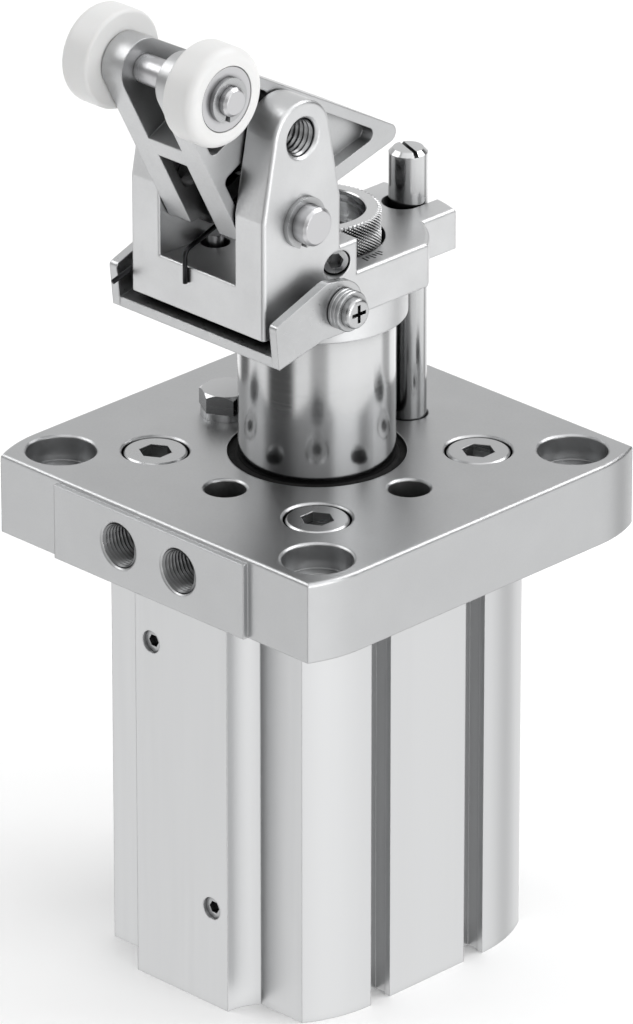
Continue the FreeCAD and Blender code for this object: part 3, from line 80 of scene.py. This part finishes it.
def camera_axes(azimuth, elevation):
    """Right, up and back directions of a camera that looks down at the object."""
    a = math.radians(azimuth)
    e = math.radians(elevation)
    back = Vector((math.sin(a) * math.cos(e), -math.cos(a) * math.cos(e), math.sin(e)))
    right = Vector((math.cos(a), math.sin(a), 0.0))
    return right, back.cross(right), back


def facing(right, up, back, position):
    turn = Matrix((right, up, back)).transposed().to_4x4()
    return Matrix.Translation(position) @ turn


def add_camera():
    data = bpy.data.cameras.new("camera")
    data.sensor_fit = "VERTICAL"
    data.sensor_height = CAMERA_SENSOR
    data.lens = CAMERA_LENS
    data.clip_end = 100.0
    camera = bpy.data.objects.new("camera", data)
    bpy.context.scene.collection.objects.link(camera)
    right, up, back = camera_axes(CAMERA_AZIMUTH, CAMERA_ELEVATION)
    aim = Vector((0.0, 0.0, AIM_HEIGHT)) + right * AIM_RIGHT + up * AIM_UP
    camera.matrix_world = facing(right, up, back, aim + back * CAMERA_DISTANCE)
    bpy.context.scene.camera = camera


def add_softbox(name, azimuth, elevation, distance, size, power):
    """A rectangular light that looks at the middle of the object."""
    data = bpy.data.lights.new(name, "AREA")
    data.shape = "RECTANGLE"
    data.size, data.size_y = size
    data.energy = power
    light = bpy.data.objects.new(name, data)
    bpy.context.scene.collection.objects.link(light)
    right, up, back = camera_axes(azimuth, elevation)
    light.matrix_world = facing(right, up, back, LIGHT_TARGET + back * distance)


# Soft cards round the object: azimuth, elevation, half width, width of the fade, grey
CARDS = (
    (228.0, 28.0, 25.0, 42.0, 1.30),
    (158.0, 14.0, 12.0, 22.0, 0.05),
    (-58.0, 20.0, 3.0, 12.0, 0.15),
    (-12.0, 20.0, 10.0, 20.0, 0.03),
    (86.0, -22.0, 10.0, 20.0, 2.00),
    (48.0, -25.0, 4.0, 12.0, 1.00),
    (-10.0, -25.0, 13.0, 11.0, 0.18),
    (165.0, -25.0, 4.0, 9.0, 0.90),
    (222.0, -27.0, 17.0, 16.0, 1.95),
    (-86.0, -25.0, 6.0, 12.0, 0.35),
)


def add_world():
    """Surroundings, white below and greyer above, with cards that give metal its contrast."""
    world = bpy.data.worlds.new("studio")
    bpy.context.scene.world = world
    world.use_nodes = True
    tree = world.node_tree
    background = tree.nodes["Background"]
    background.inputs["Strength"].default_value = WORLD_STRENGTH
    place = tree.nodes.new("ShaderNodeTexCoord")
    split = tree.nodes.new("ShaderNodeSeparateXYZ")
    tree.links.new(place.outputs["Generated"], split.inputs["Vector"])
    shades = tree.nodes.new("ShaderNodeValToRGB")
    ramp = shades.color_ramp
    ramp.elements[0].position, ramp.elements[1].position = 0.40, 0.52
    ramp.elements[0].color = (1.0, 1.0, 1.0, 1.0)
    ramp.elements[1].color = (0.42, 0.42, 0.42, 1.0)
    ramp.elements.new(1.0).color = (0.53, 0.53, 0.53, 1.0)
    height = tree.nodes.new("ShaderNodeMapRange")
    height.inputs["From Min"].default_value = -1.0
    tree.links.new(split.outputs["Z"], height.inputs["Value"])
    tree.links.new(height.outputs["Result"], shades.inputs["Fac"])
    bright = tree.nodes.new("ShaderNodeVectorMath")
    bright.operation = "SCALE"
    bright.inputs["Scale"].default_value = WORLD_BRIGHTNESS
    tree.links.new(shades.outputs["Color"], bright.inputs[0])
    colour = bright.outputs["Vector"]
    for azimuth, elevation, inner, fade, grey in CARDS:
        towards = camera_axes(azimuth, elevation)[2]
        align = tree.nodes.new("ShaderNodeVectorMath")
        align.operation = "DOT_PRODUCT"
        align.inputs[1].default_value = towards
        tree.links.new(place.outputs["Generated"], align.inputs[0])
        reach = tree.nodes.new("ShaderNodeMapRange")
        reach.interpolation_type = "SMOOTHSTEP"
        reach.inputs["From Min"].default_value = math.cos(math.radians(inner + fade))
        reach.inputs["From Max"].default_value = math.cos(math.radians(inner))
        tree.links.new(align.outputs["Value"], reach.inputs["Value"])
        card = tree.nodes.new("ShaderNodeMix")
        card.data_type = "RGBA"
        tree.links.new(reach.outputs["Result"], card.inputs[0])
        tree.links.new(colour, card.inputs[6])
        card.inputs[7].default_value = (grey, grey, grey, 1.0)
        colour = card.outputs[2]
    tree.links.new(colour, background.inputs["Color"])


class Surface:
    """A Principled material with short ways to add nodes to it."""

    def __init__(self, name, colour, roughness, metallic=0.0, **values):
        self.material = bpy.data.materials.new(name)
        self.material.use_nodes = True
        self.tree = self.material.node_tree
        self.shader = self.tree.nodes["Principled BSDF"]
        self.material.diffuse_color = (*colour, 1.0)
        self.set("Base Color", (*colour, 1.0))
        self.set("Roughness", roughness)
        self.set("Metallic", metallic)
        for socket, value in values.items():
            self.set(socket.replace("_", " "), value)

    def set(self, socket, value):
        self.shader.inputs[socket].default_value = value

    def add(self, kind, **inputs):
        """A node of that kind, with each input linked or set. Underscores stand for spaces."""
        node = self.tree.nodes.new(kind)
        for name, value in inputs.items():
            socket = node.inputs[name.replace("_", " ")]
            if isinstance(value, bpy.types.NodeSocket):
                self.tree.links.new(value, socket)
            else:
                socket.default_value = value
        return node

    def link(self, output, socket):
        self.tree.links.new(output, self.shader.inputs[socket])

    def place(self, scale=(1.0, 1.0, 1.0)):
        """Object coordinates, which are metres in the frame, scaled along each axis."""
        coordinates = self.add("ShaderNodeTexCoord")
        mapping = self.add("ShaderNodeMapping", Vector=coordinates.outputs["Object"])
        mapping.inputs["Scale"].default_value = scale
        return mapping.outputs["Vector"]

    def noise(self, scale, detail=4.0, stretch=(1.0, 1.0, 1.0)):
        texture = self.add("ShaderNodeTexNoise", Vector=self.place(stretch), Scale=scale,
                           Detail=detail)
        return texture.outputs["Fac"]

    def spread(self, value, low, high, start=0.3, end=0.7):
        """A value's middle range mapped to another range."""
        node = self.add("ShaderNodeMapRange", Value=value)
        node.inputs["From Min"].default_value = start
        node.inputs["From Max"].default_value = end
        node.inputs["To Min"].default_value = low
        node.inputs["To Max"].default_value = high
        return node.outputs["Result"]

    def tint(self, value, dark, light):
        node = self.add("ShaderNodeMix", Factor=value)
        node.data_type = "RGBA"
        node.inputs[6].default_value = (*dark, 1.0)
        node.inputs[7].default_value = (*light, 1.0)
        self.tree.links.new(value, node.inputs[0])
        return node.outputs[2]

    def rounded(self, radius, samples=4):
        """Normals as if every edge had that radius."""
        node = self.add("ShaderNodeBevel", Radius=radius)
        node.samples = samples
        return node.outputs["Normal"]

    def painted_cavity_shade(self, colour, reach, depth=0.15, open_from=0.58):
        """Painted shade: the colour darkened by an ambient occlusion mask in corners and
        cavities, where little light comes.
        """
        node = self.add("ShaderNodeAmbientOcclusion", Distance=reach)
        node.samples = 16
        openness = self.spread(node.outputs["AO"], depth, 1.0, 0.12, open_from)
        mix = self.add("ShaderNodeMix")
        mix.data_type = "RGBA"
        mix.blend_type = "MULTIPLY"
        mix.inputs[0].default_value = 1.0
        self.tree.links.new(colour, mix.inputs[6])
        self.tree.links.new(openness, mix.inputs[7])
        return mix.outputs[2]

    def bump(self, height, distance, strength, normal=None):
        node = self.add("ShaderNodeBump", Height=height, Distance=distance, Strength=strength)
        if normal is not None:
            self.tree.links.new(normal, node.inputs["Normal"])
        return node.outputs["Normal"]


def shaded(colour, share):
    return tuple(min(1.0, part * share) for part in colour)


def blasted_metal(name, colour, roughness, grain, depth, edge=0.3, contrast=0.05, reach=9.0):
    """Matte metal with the fine grain that bead blasting or casting leaves, and painted shade in
    its corners and cavities.
    """
    surface = Surface(name, colour, roughness, 1.0)
    fine = surface.noise(grain, 3.0)
    broad = surface.noise(grain / 25.0, 4.0)
    patches = surface.spread(broad, 0.0, 1.0)
    shade = surface.tint(patches, shaded(colour, 1.0 - contrast), shaded(colour, 1.0 + contrast))
    # painted shade: the base colour darkens in corners and cavities within reach millimetres
    surface.link(surface.painted_cavity_shade(shade, reach * MM), "Base Color")
    surface.link(surface.spread(fine, roughness - 0.05, roughness + 0.07), "Roughness")
    normal = surface.rounded(edge * MM)
    surface.link(surface.bump(fine, depth * MM, 0.35, normal), "Normal")
    return surface.material


def drawn_metal(name, colour, roughness, stretch, edge=0.2, lines=900.0, depth=0.01,
                painted_shade=(7.0, 0.5, 0.58), unevenness=1.0):
    """Metal with fine lines along the direction in which it was drawn, turned or ground.

    The cavity tuple sets painted shade: how far cavities darken in millimetres, how dark they
    get, and how open a place is before it keeps its full colour.
    """
    reach, darkest, open_from = painted_shade
    surface = Surface(name, colour, roughness, 1.0)
    marks = surface.noise(lines, 3.0, stretch)
    broad = surface.noise(60.0, 3.0, stretch)
    shade = surface.tint(surface.spread(broad, 0.0, 1.0),
                         shaded(colour, 1.0 - 0.06 * unevenness),
                         shaded(colour, 1.0 + 0.04 * unevenness))
    # painted shade: the base colour darkens in cavities as the cavity tuple sets
    surface.link(surface.painted_cavity_shade(shade, reach * MM, darkest, open_from), "Base Color")
    surface.link(surface.spread(marks, roughness * (1.0 - 0.13 * unevenness),
                                roughness * (1.0 + 0.20 * unevenness)), "Roughness")
    normal = surface.rounded(edge * MM)
    surface.link(surface.bump(marks, depth * MM, 0.25, normal), "Normal")
    return surface.material


# How marks stretch along the direction in which a surface was made
ROUND_X = (1.0, 0.03, 0.03)
ROUND_Z = (0.03, 0.03, 1.0)
ALONG_Z = (1.0, 1.0, 0.02)


def plastic(name, colour, roughness):
    surface = Surface(name, colour, roughness, 0.0)
    surface.set("Subsurface Weight", 0.15)
    surface.set("Subsurface Radius", (1.0 * MM, 0.9 * MM, 0.8 * MM))
    marks = surface.noise(1500.0, 3.0)
    surface.link(surface.spread(marks, roughness - 0.05, roughness + 0.08), "Roughness")
    normal = surface.rounded(0.3 * MM)
    surface.link(surface.bump(marks, 0.01 * MM, 0.2, normal), "Normal")
    shade = surface.tint(surface.spread(surface.noise(70.0), 0.0, 1.0), shaded(colour, 0.97),
                         colour)
    surface.link(shade, "Base Color")
    return surface.material


def rubber(name):
    surface = Surface(name, (0.01, 0.01, 0.01), 0.6, Specular_IOR_Level=0.1)
    marks = surface.noise(2500.0, 4.0)
    surface.link(surface.spread(marks, 0.52, 0.70), "Roughness")
    surface.link(surface.bump(marks, 0.02 * MM, 0.3), "Normal")
    shade = surface.tint(surface.spread(surface.noise(300.0), 0.0, 1.0), (0.006, 0.006, 0.006),
                         (0.016, 0.016, 0.016))
    surface.link(shade, "Base Color")
    return surface.material


def make_materials():
    silver = (0.52, 0.525, 0.53)
    # Every finish below darkens its cavities with painted shade, through its reach or its cavity
    # tuple
    return {
        "barrel_aluminium": drawn_metal("barrel_aluminium", (0.62, 0.625, 0.63), 0.34, ALONG_Z,
                                        edge=0.35, lines=1400.0, depth=0.0012,
                                        unevenness=0.3),
        "flange_aluminium": blasted_metal("flange_aluminium", (0.50, 0.505, 0.51), 0.34,
                                          2600.0, 0.012, edge=0.45, contrast=0.02),
        "head_casting": blasted_metal("head_casting", (0.64, 0.645, 0.65), 0.36, 2200.0, 0.02,
                                      edge=0.5, reach=3.0),
        # lever_casting: painted shade reaches 16 mm and darkens the lever's slot and hollows
        "lever_casting": blasted_metal("lever_casting", (0.54, 0.545, 0.55), 0.38, 2200.0, 0.02,
                                       edge=0.4, reach=16.0),
        "sheet_steel": blasted_metal("sheet_steel", (0.53, 0.535, 0.54), 0.32, 1600.0, 0.003,
                                     edge=0.4, reach=4.0),
        # rod_chrome: painted shade reaches 28 mm and goes nearly black, so the rod darkens near
        # the flange and under the head
        "rod_chrome": drawn_metal("rod_chrome", (0.66, 0.665, 0.67), 0.15, ROUND_Z,
                                  edge=0.2, lines=2600.0, depth=0.0002,
                                  painted_shade=(28.0, 0.03, 0.98)),
        "steel": drawn_metal("steel", (0.55, 0.55, 0.56), 0.30, ROUND_X, edge=0.25,
                             painted_shade=(3.0, 0.15, 0.85)),
        "ground_steel": drawn_metal("ground_steel", (0.55, 0.555, 0.56), 0.30, ROUND_Z,
                                    edge=0.12),
        # bright_bolt: painted shade reaches 20 mm and darkens the bolt near the parts round it
        "bright_bolt": drawn_metal("bright_bolt", (0.55, 0.555, 0.56), 0.24, ROUND_Z, edge=0.2,
                                   painted_shade=(20.0, 0.02, 0.95)),
        "ring_steel": drawn_metal("ring_steel", (0.44, 0.445, 0.45), 0.28, ROUND_X, edge=0.1,
                                  depth=0.004, painted_shade=(2.5, 0.08, 0.85)),
        "thread_cut": drawn_metal("thread_cut", (0.36, 0.365, 0.37), 0.30, ROUND_Z, edge=0.05),
        # A darker copy of thread_cut: painted shade for the threads inside the air ports
        "thread_painted_shade": drawn_metal("thread_painted_shade", (0.20, 0.203, 0.206), 0.30, ROUND_Z,
                                   edge=0.05),
        # knurl: painted shade goes nearly black in the knurl's grooves
        "knurl": drawn_metal("knurl", (0.68, 0.685, 0.69), 0.20, ROUND_Z, edge=0.05,
                             painted_shade=(1.1, 0.03, 0.85)),
        "plated_screws": drawn_metal("plated_screws", silver, 0.28, ROUND_Z, edge=0.25,
                                     depth=0.004, painted_shade=(4.0, 0.1, 0.7)),
        "dark_steel": drawn_metal("dark_steel", (0.22, 0.225, 0.23), 0.30, ROUND_Z, edge=0.2),
        "black_wire": drawn_metal("black_wire", (0.03, 0.03, 0.032), 0.35, ROUND_X),
        "roller_plastic": plastic("roller_plastic", (0.70, 0.70, 0.695), 0.38),
        "piston_aluminium": drawn_metal("piston_aluminium", (0.72, 0.73, 0.75), 0.30, ROUND_Z),
        "seal_rubber": rubber("seal_rubber"),
        "magnet": blasted_metal("magnet", (0.20, 0.20, 0.21), 0.5, 1500.0, 0.02),
        "bearing_bronze": drawn_metal("bearing_bronze", (0.62, 0.48, 0.28), 0.35, ROUND_Z),
    }


# Nodes whose finish differs a little from the rest of their slot
FINISHES = {
    "hex_bolt": "bright_bolt",
    "hex_bolt_washer": "ground_steel",
    "ring_set_screw": "ring_steel",
    "lever": "lever_casting",
    "pivot_pin_rings": "ring_steel",
    "axle_rings": "ring_steel",
    "damper_body": "ground_steel",
    "channel_plugs": "ring_steel",
    "stirrup_washers": "ring_steel",
}


def dress_nodes(materials):
    """Give each CAD node the material of its slot in the record, or its own finish."""
    for entry in frame["record"]["subparts"]:
        name = entry["node"]
        node = nodes[name]
        node.data.materials.clear()
        node.data.materials.append(materials[FINISHES.get(name, entry["material_slot"])])


def add_floor():
    """A wide pale floor. Metal reflects the soft cards below it instead of its white."""
    mesh = bpy.data.meshes.new("floor")
    half = FLOOR_SIZE / 2
    corners = [(-half, -half, 0), (half, -half, 0), (half, half, 0), (-half, half, 0)]
    mesh.from_pydata(corners, [], [(0, 1, 2, 3)])
    floor = bpy.data.objects.new("floor", mesh)
    floor.visible_glossy = False
    bpy.context.scene.collection.objects.link(floor)
    surface = Surface("floor", (0.985, 0.985, 0.985), 0.6)
    shade = surface.tint(surface.spread(surface.noise(3.0), 0.0, 1.0), (0.98, 0.98, 0.98),
                         (0.99, 0.99, 0.99))
    surface.link(shade, "Base Color")
    mesh.materials.append(surface.material)


def new_piece(name, vertices, faces, material, body, smooth=True):
    """A mesh piece in the row frame that rides on a body."""
    mesh = bpy.data.meshes.new(name)
    mesh.from_pydata(vertices, [], faces)
    mesh.update()
    mesh.polygons.foreach_set("use_smooth", [smooth] * len(mesh.polygons))
    mesh.materials.append(material)
    piece = bpy.data.objects.new(name, mesh)
    bpy.context.scene.collection.objects.link(piece)
    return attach(piece, body)


def frame_along(axis):
    """Two directions square to an axis, and the axis."""
    along = Vector(axis).normalized()
    guess = Vector((0, 0, 1)) if abs(along.z) < 0.9 else Vector((1, 0, 0))
    side = along.cross(guess).normalized()
    return side, along.cross(side), along


def grid_faces(rows, columns, closed_rows=False):
    """Quads between neighbouring rings of points, each ring closed on itself."""
    faces = []
    last = rows if closed_rows else rows - 1
    for row in range(last):
        for column in range(columns):
            after = (column + 1) % columns
            above = (row + 1) % rows
            faces.append((row * columns + column, row * columns + after,
                          above * columns + after, above * columns + column))
    return faces


def tooth(phase):
    """A triangular wave from 0 to 1 and back in one turn of the phase."""
    return 1.0 - abs(2.0 * (phase % 1.0) - 1.0)


def add_thread(name, mouth, outward, radius, length, pitch, depth, body, material):
    """The thread in a hole: ridges that wind inwards from the wall, below the mouth."""
    side, up, along = frame_along(outward)
    columns, per_turn = 64, 8
    rows = int(length / pitch * per_turn) + 1
    vertices = []
    for row in range(rows):
        below = length * row / (rows - 1)
        for column in range(columns):
            angle = TURN * column / columns
            rise = tooth(below / pitch - column / columns)
            reach = radius - depth * rise
            around = side * math.cos(angle) + up * math.sin(angle)
            vertices.append(Vector(mouth) - along * below + around * reach)
    return new_piece(name, vertices, grid_faces(rows, columns), material, body)


def add_threads(port_material, ear_material):
    """Threads in the two air ports and in the two ears."""
    for side, name in ((-1, "left"), (1, "right")):
        mouth = (side * PORT_X, PORT_FACE, PORT_HEIGHT)
        add_thread(f"port_thread_{name}", mouth, (0, -1, 0), 4.82 * MM, 8.6 * MM, 0.907 * MM,
                   0.58 * MM, "housing", port_material)
        mouth = (side * EAR_FACE, PIVOT_Y, EAR_THREAD_HEIGHT)
        add_thread(f"ear_thread_{name}", mouth, (side, 0, 0), 4.02 * MM, 7.5 * MM, 1.25 * MM,
                   0.68 * MM, "rod_assembly", ear_material)


def add_knurled_ring(material):
    """The adjusting ring with a diamond knurl outside and a thread inside."""
    low, high = [Vector(corner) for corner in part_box("damping_ring")]
    outer, inner = high.x, 9.7 * MM
    teeth = 76
    columns = teeth * 6
    depth, bevel, pitch = 0.60 * MM, 0.25 * MM, 1.5 * MM
    diamond = TURN * outer / teeth * 0.62
    wall = 110
    profile = [(inner, low.z), (outer - depth, low.z)]
    for step in range(wall + 1):
        profile.append((None, low.z + (high.z - bevel - low.z) * step / wall))
    profile += [(outer - depth - bevel, high.z), (inner + bevel, high.z)]
    ribs = 32
    for step in range(ribs + 1):
        profile.append((0.0, high.z - bevel - (high.z - bevel - low.z) * step / ribs))
    vertices = []
    for radius, height in profile:
        for column in range(columns):
            around = column / columns
            reach = radius
            if radius is None:
                one = tooth(teeth * around + height / diamond)
                two = tooth(teeth * around - height / diamond)
                reach = outer - depth + depth * min(one, two) * 1.6
                reach = min(reach, outer)
            elif radius == 0.0:
                reach = inner + 0.06 * MM * tooth(height / pitch - around)
            angle = TURN * around
            vertices.append((reach * math.cos(angle), reach * math.sin(angle), height))
    faces = grid_faces(len(profile), columns, closed_rows=True)
    ring = new_piece("knurled_ring", vertices, faces, material, "adjusting_ring", smooth=False)
    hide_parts("damping_ring")


def tube(points, radius, sides=12):
    """A round wire along points, with flat ends."""
    vertices, faces = [], []
    normal = None
    count = len(points)
    for index, point in enumerate(points):
        ahead = points[min(index + 1, count - 1)] - points[max(index - 1, 0)]
        along = ahead.normalized()
        if normal is None:
            normal = frame_along(along)[0]
        normal = (normal - along * normal.dot(along)).normalized()
        other = along.cross(normal)
        for side in range(sides):
            angle = TURN * side / sides
            vertices.append(point + (normal * math.cos(angle) + other * math.sin(angle)) * radius)
    faces = grid_faces(count, sides)
    faces.append(tuple(reversed(range(sides))))
    faces.append(tuple(range((count - 1) * sides, count * sides)))
    return vertices, faces


def bent(points, bend, steps=8):
    """The points of straight runs with their corners turned into arcs."""
    path = [points[0]]
    for here, before, after in zip(points[1:-1], points, points[2:]):
        back, onward = (before - here).normalized(), (after - here).normalized()
        half = back.angle(onward) / 2
        cut = bend / math.tan(half)
        centre = here + (back + onward).normalized() * bend / math.sin(half)
        start, end = here + back * cut - centre, here + onward * cut - centre
        for step in range(steps + 1):
            share = step / steps
            path.append(centre + start.slerp(end, share).normalized() * bend)
    path.append(points[-1])
    return path


def helix(centre, radius, x_start, x_end, turns, final):
    """Turns about an axis along X that end at the angle given, in the YZ plane."""
    steps = int(turns * 40)
    path = []
    for step in range(steps + 1):
        share = step / steps
        angle = final - TURN * turns * (1.0 - share)
        path.append(Vector((x_start + (x_end - x_start) * share,
                            centre.y + radius * math.cos(angle),
                            centre.z + radius * math.sin(angle))))
    return path


def add_ticks(material):
    """Short marks on the head's deck beside the knurled ring."""
    for number in range(6):
        angle = math.radians(-7.0 + 3.6 * number)
        length = (1.9 if number % 2 == 0 else 1.2) * MM
        out = Vector((math.cos(angle), math.sin(angle), 0.0))
        across = Vector((-out.y, out.x, 0.0)) * 0.22 * MM
        inner = 14.5 * MM
        outer = inner + length
        corners = [out * inner - across, out * outer - across, out * outer + across,
                   out * inner + across]
        middle = out * (inner + outer) / 2
        bevel = [(corner + middle) / 2 for corner in corners]
        vertices = [point + Vector((0, 0, DECK)) for point in corners]
        vertices += [point + Vector((0, 0, DECK + 0.06 * MM)) for point in bevel]
        vertices += [point + Vector((0, 0, DECK - 0.1 * MM)) for point in corners]
        faces = [(4, 5, 6, 7), (8, 11, 10, 9)]
        for side in range(4):
            after = (side + 1) % 4
            faces.append((side, after, after + 4, side + 4))
            faces.append((side + 8, after + 8, after, side))
        new_piece(f"deck_tick_{number}", vertices, faces, material, "rod_assembly", smooth=False)


def add_springs(material):
    """Black wire springs: wound turns and a leg, in place of the stacked rings."""
    wire = 0.5 * MM
    pivot = Vector((0, PIVOT_Y, PIVOT_HEIGHT))
    radius, x = 5.4 * MM, -2.8 * MM
    front = -33.6 * MM - wire - 0.03 * MM
    corner = Vector((x, front, (158.45 + 3.5) * MM))
    away = Vector((0, corner.y - pivot.y, corner.z - pivot.z))
    heading = math.atan2(away.z, away.y) + math.acos(radius / away.length)
    coil = helix(pivot, radius, x + 3.0 * MM, x, 4.0, heading)
    touch = coil[-1]
    end = Vector((x, front, 155.0 * MM))
    path = coil[:-1] + bent([touch, corner, end], 2.0 * MM)
    vertices, faces = tube(path, wire)
    piece = new_piece("lever_spring_wire", vertices, faces, material, "rod_assembly")
    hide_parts("lever_spring")

    screw = Vector((0, -16.6 * MM, 152.4 * MM))
    radius, x = 4.4 * MM, -20.1 * MM
    slope = math.radians(16.3)
    heading = math.atan2(math.cos(slope), -math.sin(slope))
    coil = helix(screw, radius, x + 0.95 * MM, x, 2.0, heading)
    end = coil[-1] + Vector((0, -math.cos(slope), -math.sin(slope))) * 20.3 * MM
    vertices, faces = tube(coil + [end], wire)
    piece = new_piece("stirrup_spring_wire", vertices, faces, material, "rod_assembly")
    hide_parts("stirrup_spring")


bpy.context.scene.view_settings.view_transform = "Standard"
materials = make_materials()
add_camera()
add_world()
add_floor()
add_softbox("key", 70.0, 66.0, 1.8, (2.3, 2.3), 12.0)
add_softbox("right", 88.0, 8.0, 1.5, (1.0, 1.2), 9.0)
add_softbox("edges_right", 147.0, 41.0, 1.6, (0.9, 0.9), 9.0)
add_softbox("edges_left", -57.0, 42.0, 1.6, (0.9, 0.9), 6.0)
dress_nodes(materials)
# The air ports take the darker thread copy, painted shade inside them
add_threads(materials["thread_painted_shade"], materials["thread_cut"])
add_knurled_ring(materials["knurl"])
add_ticks(materials["black_wire"])
add_springs(materials["black_wire"])
